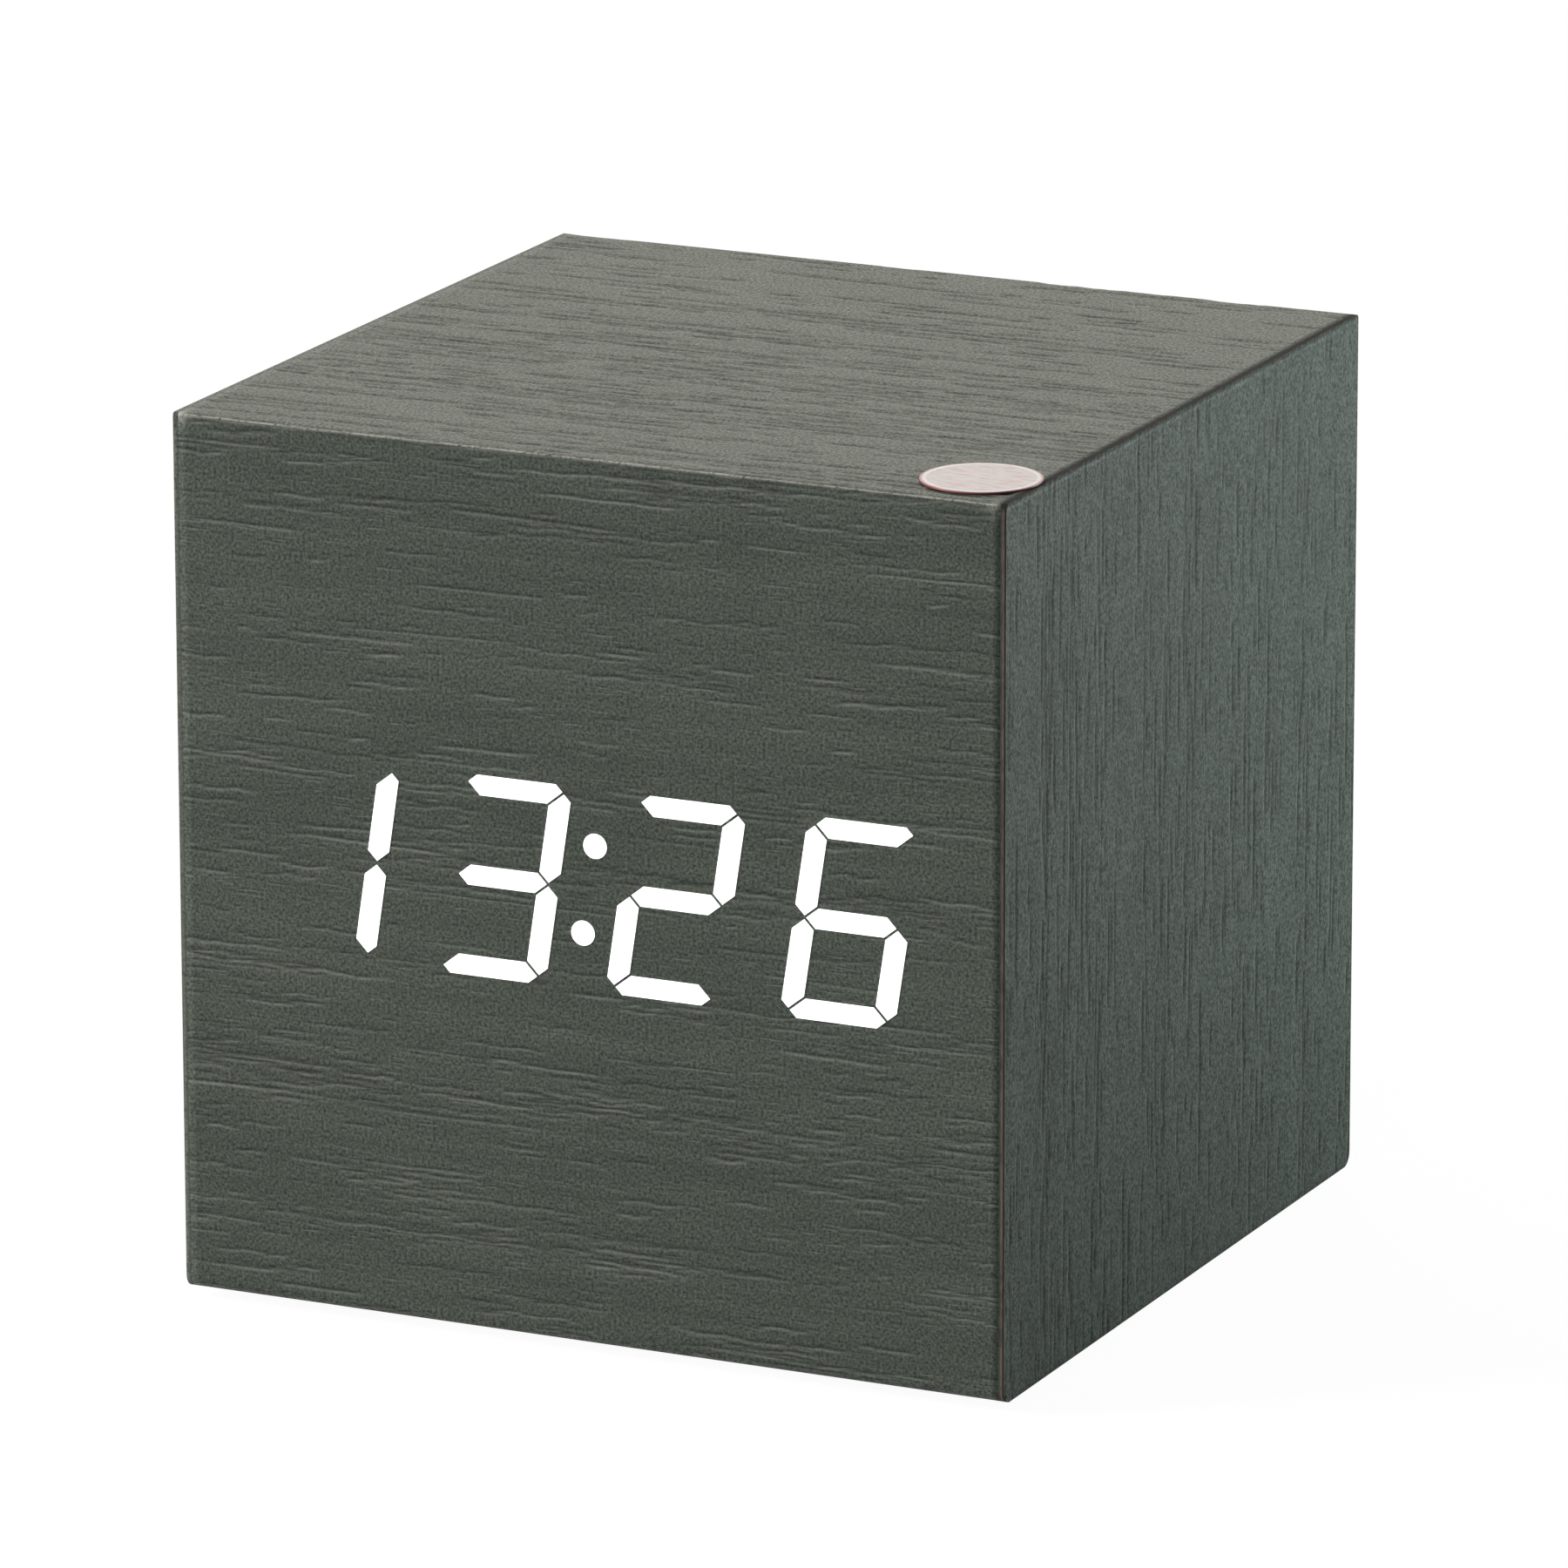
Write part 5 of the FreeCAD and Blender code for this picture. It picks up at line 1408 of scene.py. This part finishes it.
    def build_side(self, way: int, name: str, replaced: str, grain: Grain) -> None:
        """Builds one side's sheet: columns of z between its rounded ends, less the grooves' depth.

        Args:
            way: 1 for the right side, -1 for the left.
            name: the piece's name.
            replaced: the CAD node that it stands for.
            grain: the side's grooves.
        """
        s, r = self.sizes, self.wear_and_light
        close = s.base_fold * (1.0 - np.cos(quarter_turn(s.corner_points)))
        middle = places_within(s.front_y + s.base_fold, s.rear_y - s.base_fold, s.side_row)
        y = np.unique(np.concatenate([s.front_y + close, middle, s.rear_y - close]).round(6))
        steps = np.linspace(0.0, 1.0, round((s.top_z - s.base_z) / s.column) + 1)
        low, high = self.side_ends(y)
        z = low[:, None] + (high - low)[:, None] * steps
        values = grain.carve(y, s.base_z + (s.top_z - s.base_z) * steps)
        ends = np.minimum(z - low[:, None], high[:, None] - z)
        inset = np.minimum(np.minimum(y - s.front_y, s.rear_y - y)[:, None], ends)
        depth = values.pop("depth") * edge_kept(inset, s.side_end)
        grid = np.stack([way * (s.side_x - depth), np.broadcast_to(y[:, None], z.shape), z], -1)
        rng = np.random.default_rng(grain.seed + 1)
        # Abrasion with a painted highlight along the side's front edge.
        rim = bell(y[:, None], s.front_y, r.side_rim)
        wear_and_highlight = r.side_strength * rim * slow_noise(rng, y, steps, r.side_patches)
        values["wear_and_highlight"] = np.clip(wear_and_highlight, 0.0, 1.0)
        first, last = (np.column_stack([np.full(len(y), way * s.core_x), y, end]) for end in (low, high))
        finishes = [self.side_finish, self.edge_finish if way > 0 else self.wrap_finish]
        place(mesh_of(sheet(grid, first, last, values), name), finishes, Slot.FILM, replaced)

    def build_base(self) -> None:
        """Keeps the base of the CAD sheet, with its sound holes: a merged copy, cut behind the front fold."""
        s = self.sizes
        mesh = frame["nodes"]["wrap_veneer"].data.copy()
        mesh.name = "film_base"
        mesh.materials.clear()
        work = bmesh.new()
        work.from_mesh(mesh)
        bmesh.ops.remove_doubles(work, verts=work.verts, dist=MERGE_DISTANCE)
        everything = list(work.verts) + list(work.edges) + list(work.faces)
        cut = {"plane_co": (0.0, (s.front_y + s.base_fold) * MM, 0.0), "plane_no": (0.0, 1.0, 0.0)}
        found = bmesh.ops.bisect_plane(work, geom=everything, clear_inner=True, **cut)
        above = [face for face in work.faces if face.calc_center_median().z > (s.base_z + s.base_fold) * MM]
        bmesh.ops.delete(work, geom=above, context="FACES")
        rim = [edge for edge in found["geom_cut"] if isinstance(edge, bmesh.types.BMEdge) and edge.is_valid]
        bmesh.ops.contextual_create(work, geom=[edge for edge in rim if edge.is_boundary])
        bmesh.ops.recalc_face_normals(work, faces=work.faces)
        for face in work.faces:
            face.smooth = False
            face.material_index = 0 if face.normal.z < -0.5 else 1
        work.to_mesh(mesh)
        work.free()
        for label in FILM_VALUES:
            mesh.attributes.new(label, "FLOAT", "POINT")
        place(mesh, [self.wrap_finish, self.edge_finish], Slot.FILM, "wrap_veneer")

    def build(self) -> None:
        """Builds the four sheets."""
        self.build_wrap()
        self.build_base()
        self.build_side(1, "film_right", "right_veneer", RIGHT_GRAIN)
        self.build_side(-1, "film_left", "left_veneer", LEFT_GRAIN)


# Small parts


@dataclass(frozen=True)
class TouchPad:
    """The round touch mark on the top, near the front right corner."""

    centre: Pair = (26.72, -24.70)
    radius: float = 4.15
    low: float = 63.2
    thick: float = 0.15
    round_off: float = 0.05
    rim_points: int = 6
    inner_rings: int = 10
    segments: int = 96

    def build(self, effects: Effects) -> None:
        """Builds the disc: a round body whose rim is softened by an arc.

        Args:
            effects: the shared effects.
        """
        turn = quarter_turn(self.rim_points)
        rim_r = self.radius - self.round_off + self.round_off * np.cos(turn)
        rim_h = self.thick - self.round_off + self.round_off * np.sin(turn)
        inner = np.linspace(self.radius - self.round_off, 0.0, self.inner_rings)[1:]
        radius = np.concatenate([[0.0, self.radius], rim_r, inner])
        height = np.concatenate([[0.0, 0.0], rim_h, np.full(len(inner), self.thick)])
        profile = np.column_stack([radius, height])
        tones = [0] * (len(profile) - 1)
        disc = revolved(profile, tones, (*self.centre, self.low), 1.0, self.segments)
        finish = PadFinish(self.centre, self.radius).build(effects)
        place(mesh_of(disc, "touch_mark"), [finish], Slot.PAD, "talk_pad")


@dataclass(frozen=True)
class Feet:
    """Four round rubber pads with softened rims."""

    x: float = 23.0
    y: float = 22.25
    radius: float = 4.0
    height: float = 0.8
    round_off: float = 0.25
    rim_points: int = 6

    def build(self, finish: Material) -> None:
        """Builds the pads: a round body each, standing on the floor.

        Args:
            finish: the rubber.
        """
        turn = quarter_turn(self.rim_points)
        rim = self.radius - self.round_off + self.round_off * np.sin(turn)
        radius = np.concatenate([[0.0], rim, [self.radius, 0.0]])
        height = np.concatenate([[0.0], self.round_off * (1.0 - np.cos(turn)), [self.height, self.height]])
        profile = np.column_stack([radius, height])
        tones = [0] * (len(profile) - 1)
        places = [(x, y, 0.0) for x in (-self.x, self.x) for y in (-self.y, self.y)]
        pads = combined([revolved(profile, tones, place, 1.0) for place in places])
        place(mesh_of(pads, "foot_pads"), [finish], Slot.FOOT, "feet")


@dataclass(frozen=True)
class Cells:
    """Three battery cells with plain jackets, whose positive ends alternate."""

    xs: Triple = (-11.0, 0.0, 11.0)
    ways: Triple = (1.0, -1.0, 1.0)
    y: float = 21.5
    low_start: float = 11.75
    high_start: float = 52.25
    radius: float = 5.25
    length: float = 44.5
    nub_radius: float = 1.9
    nub: float = 0.9
    segments: int = 64
    finishes: tuple[Finish, ...] = (
        Finish(
            "cell_jacket", (0.014, 0.040, 0.085), (0.022, 0.058, 0.115), (0.22, 0.32),
            0.4, 6.0, 0.5, 0.004, 0.1, 0.25,
        ),
        Finish(
            "cell_end", (0.50, 0.50, 0.49), (0.68, 0.68, 0.66), (0.22, 0.38), 0.15, 2.0, 0.5, 0.006, 1.0, 0.5,
        ),
        Finish(
            "cell_band", (0.42, 0.43, 0.44), (0.55, 0.56, 0.57), (0.22, 0.34),
            0.4, 6.0, 0.4, 0.004, 0.5, 0.25,
        ),
        Finish("cell_collar", (0.55, 0.54, 0.50), (0.70, 0.69, 0.65), (0.55, 0.75), 0.3, 2.0, 0.4, 0.01),
    )

    def build(self, effects: Effects) -> None:
        """Builds the cells: a round can with a rolled negative end, a jacket, a grey collar and a nub.

        Args:
            effects: the shared effects.
        """
        can = self.length - self.nub
        profile = np.array([
            (0.0, 0.0), (3.6, 0.0), (3.9, 0.15), (4.6, 0.15), (4.95, 0.0), (5.15, 0.1),
            (self.radius, 0.35), (self.radius, 0.9), (self.radius, 11.0), (self.radius, can - 0.7),
            (5.17, can - 0.3), (4.9, can - 0.05), (4.2, can), (2.3, can),
            (self.nub_radius, can + 0.1), (self.nub_radius, self.length - 0.25),
            (1.75, self.length - 0.07), (1.5, self.length), (0.0, self.length),
        ])
        jacket, end, band, collar = range(4)
        tones = [end] * 6 + [jacket, band] + [jacket] * 4 + [collar] + [end] * 5
        bodies = []
        for x, way in zip(self.xs, self.ways):
            start = self.low_start if way > 0 else self.high_start
            bodies.append(revolved(profile, tones, (x, self.y, start), way, self.segments))
        finishes = [finish.build(effects) for finish in self.finishes]
        place(mesh_of(combined(bodies), "cells_in_jackets"), finishes, Slot.CELL, "battery_cells")


@dataclass(frozen=True)
class ButtonMarks:
    """Plain raised marks on the button caps: a dot to set, and arrowheads up and down."""

    x: float = -22.625
    heights: Triple = (44.2, 36.0, 27.8)
    face_y: float = 29.75
    rise: float = 0.07
    sink: float = 0.02
    size: float = 1.15
    dot: float = 0.62
    inset: float = 0.12
    corner_at: float = 0.82
    corner_round: float = 0.16
    finish: Finish = Finish(
        "mark_paint", (0.50, 0.50, 0.49), (0.66, 0.66, 0.64), (0.45, 0.62), 0.15, 1.0, 0.4, 0.008, 0.0, 0.3,
    )

    def outline(self, mark: Mark) -> Array:
        """The mark's (x, z) points about its middle: a circle, or a triangle with rounded corners.

        Args:
            mark: which mark.

        Returns:
            The points, anticlockwise.
        """
        if mark is Mark.DOT:
            turn = np.linspace(0.0, 2.0 * math.pi, 40, endpoint=False)
            return self.dot * self.size * np.column_stack([np.cos(turn), np.sin(turn)])
        arcs = []
        for corner in self.size * np.array([(-0.87, -0.5), (0.87, -0.5), (0.0, 1.0)]):
            facing = math.atan2(corner[1], corner[0])
            turn = np.linspace(facing - math.pi / 3, facing + math.pi / 3, 7)
            arc = self.corner_round * self.size * np.column_stack([np.cos(turn), np.sin(turn)])
            arcs.append(self.corner_at * corner + arc)
        return np.concatenate(arcs) * np.array([1.0, float(mark.value)])

    def build(self, effects: Effects) -> None:
        """Builds the three marks, each on its own button.

        Args:
            effects: the shared effects.
        """
        finish = self.finish.build(effects)
        low, high = self.face_y - self.sink, self.face_y + self.rise
        rows = zip((Body.SET_KEY, Body.UP_KEY, Body.DOWN_KEY), (Mark.DOT, Mark.UP, Mark.DOWN), self.heights)
        for body, mark, z in rows:
            surface = raised(self.outline(mark), low, high, self.inset, (self.x, z))
            place(mesh_of(surface, body.value + "_mark"), [finish], Slot.BUTTON, body=body)


# Studio


@dataclass(frozen=True)
class Lamp:
    """A soft rectangular lamp aimed at the clock. place, width and height are metres, power is watts."""

    name: str
    place: Triple
    width: float
    height: float
    power: float
    colour: Triple
    aim: Triple = (0.0, 0.0, 0.032)

    def build(self) -> None:
        """Hangs the lamp and turns it to the clock's middle."""
        data = bpy.data.lights.new(self.name, "AREA")
        data.shape = "RECTANGLE"
        data.size, data.size_y = self.width, self.height
        data.energy = self.power
        data.color = self.colour
        lamp = linked(self.name, data)
        lamp.location = self.place
        lamp.rotation_euler = (Vector(self.aim) - Vector(self.place)).to_track_quat("-Z", "Y").to_euler()


@dataclass(frozen=True)
class Studio:
    """The camera, the pale floor, the lamps and the white surround. floor_half is metres."""

    eye: Triple = (345.38, -734.0, 256.56)
    look: Triple = (-0.4099, 0.8726, -0.2657)
    roll: float = -0.127
    lens: float = 277.174
    sensor: float = 36.0
    clip: Pair = (0.05, 50.0)
    floor_half: float = 6.0
    floor_colour: Triple = (0.88, 0.88, 0.87)
    floor_lift: float = 1.02
    floor_cloud: float = 3.0
    floor_white: float = 0.91
    floor_gloss: float = 0.30
    floor_strength: float = 1.05
    surround: Triple = (0.95, 0.98, 1.0)
    surround_strength: float = 0.14
    lamps: tuple[Lamp, ...] = (
        Lamp("key", (-1.30, -0.82, 0.76), 0.65, 0.65, 33.0, (1.0, 0.99, 0.965)),
        Lamp("rear_top", (-0.35, 0.75, 0.45), 0.7, 0.4, 1.42, (1.0, 0.945, 0.76)),
        Lamp("right_rear", (0.13, 0.12, 0.06), 0.05, 0.05, 0.140, (0.86, 1.0, 0.96)),
    )

    def build_camera(self) -> None:
        """Sets the camera: its own axes are right, up and against its look, turned by the roll."""
        look = Vector(self.look).normalized()
        level = look.cross(Vector((0.0, 0.0, 1.0))).normalized()
        upright = level.cross(look)
        turn = math.radians(self.roll)
        right = level * math.cos(turn) + upright * math.sin(turn)
        up = upright * math.cos(turn) - level * math.sin(turn)
        data = bpy.data.cameras.new("camera")
        data.sensor_fit = "HORIZONTAL"
        data.sensor_width = self.sensor
        data.lens = self.lens
        data.clip_start, data.clip_end = self.clip
        camera = linked("camera", data)
        axes = Matrix((right, up, -look)).transposed().to_4x4()
        camera.matrix_world = Matrix.Translation(Vector(self.eye) * MM) @ axes
        bpy.context.scene.camera = camera

    def build_floor(self) -> None:
        """Lays the floor, which is white to the camera and in reflections but for the clock's soft shadow."""
        half = self.floor_half
        square = [(-half, -half, 0.0), (half, -half, 0.0), (half, half, 0.0), (-half, half, 0.0)]
        mesh = bpy.data.meshes.new("floor")
        mesh.from_pydata(square, [], [(0, 1, 2, 3)])
        floor = linked("floor", mesh)
        material = bpy.data.materials.new("floor")
        graph = Graph(cleared(material))
        cloud = graph.noise(graph.add("TexCoord").outputs["Object"], self.floor_cloud)
        pale = tuple(min(1.0, self.floor_lift * channel) for channel in self.floor_colour)
        paper = graph.add("BsdfDiffuse", {"Color": graph.blend(cloud, self.floor_colour, pale)})
        white = graph.add("Emission", {"Color": WHITE, "Strength": self.floor_strength})
        path = graph.add("LightPath").outputs
        direct = graph.math("MAXIMUM", path["Is Camera Ray"], path["Is Transmission Ray"])
        reflected = graph.times(path["Is Glossy Ray"], self.floor_gloss)
        share = graph.math("MAXIMUM", graph.times(direct, self.floor_white), reflected)
        mixed = graph.add("MixShader", {0: share, 1: paper.outputs[0], 2: white.outputs[0]})
        graph.feed(graph.add("OutputMaterial").inputs["Surface"], mixed.outputs[0])
        mesh.materials.append(material)

    def build_surround(self) -> None:
        """Fills the world: white to the camera and in reflections, and softer as a light."""
        world = bpy.data.worlds.new("surround")
        bpy.context.scene.world = world
        graph = Graph(cleared(world))
        soft = graph.add("Background", {"Color": self.surround, "Strength": self.surround_strength})
        white = graph.add("Background", {"Color": WHITE, "Strength": 1.0})
        path = graph.add("LightPath").outputs
        reflected = graph.math("MAXIMUM", path["Is Glossy Ray"], path["Is Transmission Ray"])
        shown = graph.math("MAXIMUM", path["Is Camera Ray"], reflected)
        mixed = graph.add("MixShader", {0: shown, 1: soft.outputs[0], 2: white.outputs[0]})
        graph.feed(graph.add("OutputWorld").inputs["Surface"], mixed.outputs[0])

    def build(self) -> None:
        """Builds the studio and sets the plain view."""
        bpy.context.scene.view_settings.view_transform = "Standard"
        self.build_camera()
        self.build_floor()
        self.build_surround()
        for lamp in self.lamps:
            lamp.build()


def main() -> None:
    """Builds the scene."""
    logging.basicConfig(level=logging.INFO, format="%(name)s: %(message)s")
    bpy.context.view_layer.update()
    Studio().build()
    effects = Effects()
    materials = slot_materials(effects)
    dress_nodes(materials)
    FilmCasing(CasingSizes(), WearAndPaintedLight(), effects).build()
    TouchPad().build(effects)
    Feet().build(materials[Slot.FOOT])
    Cells().build(effects)
    ButtonMarks().build(effects)


if __name__ == "__main__":
    main()
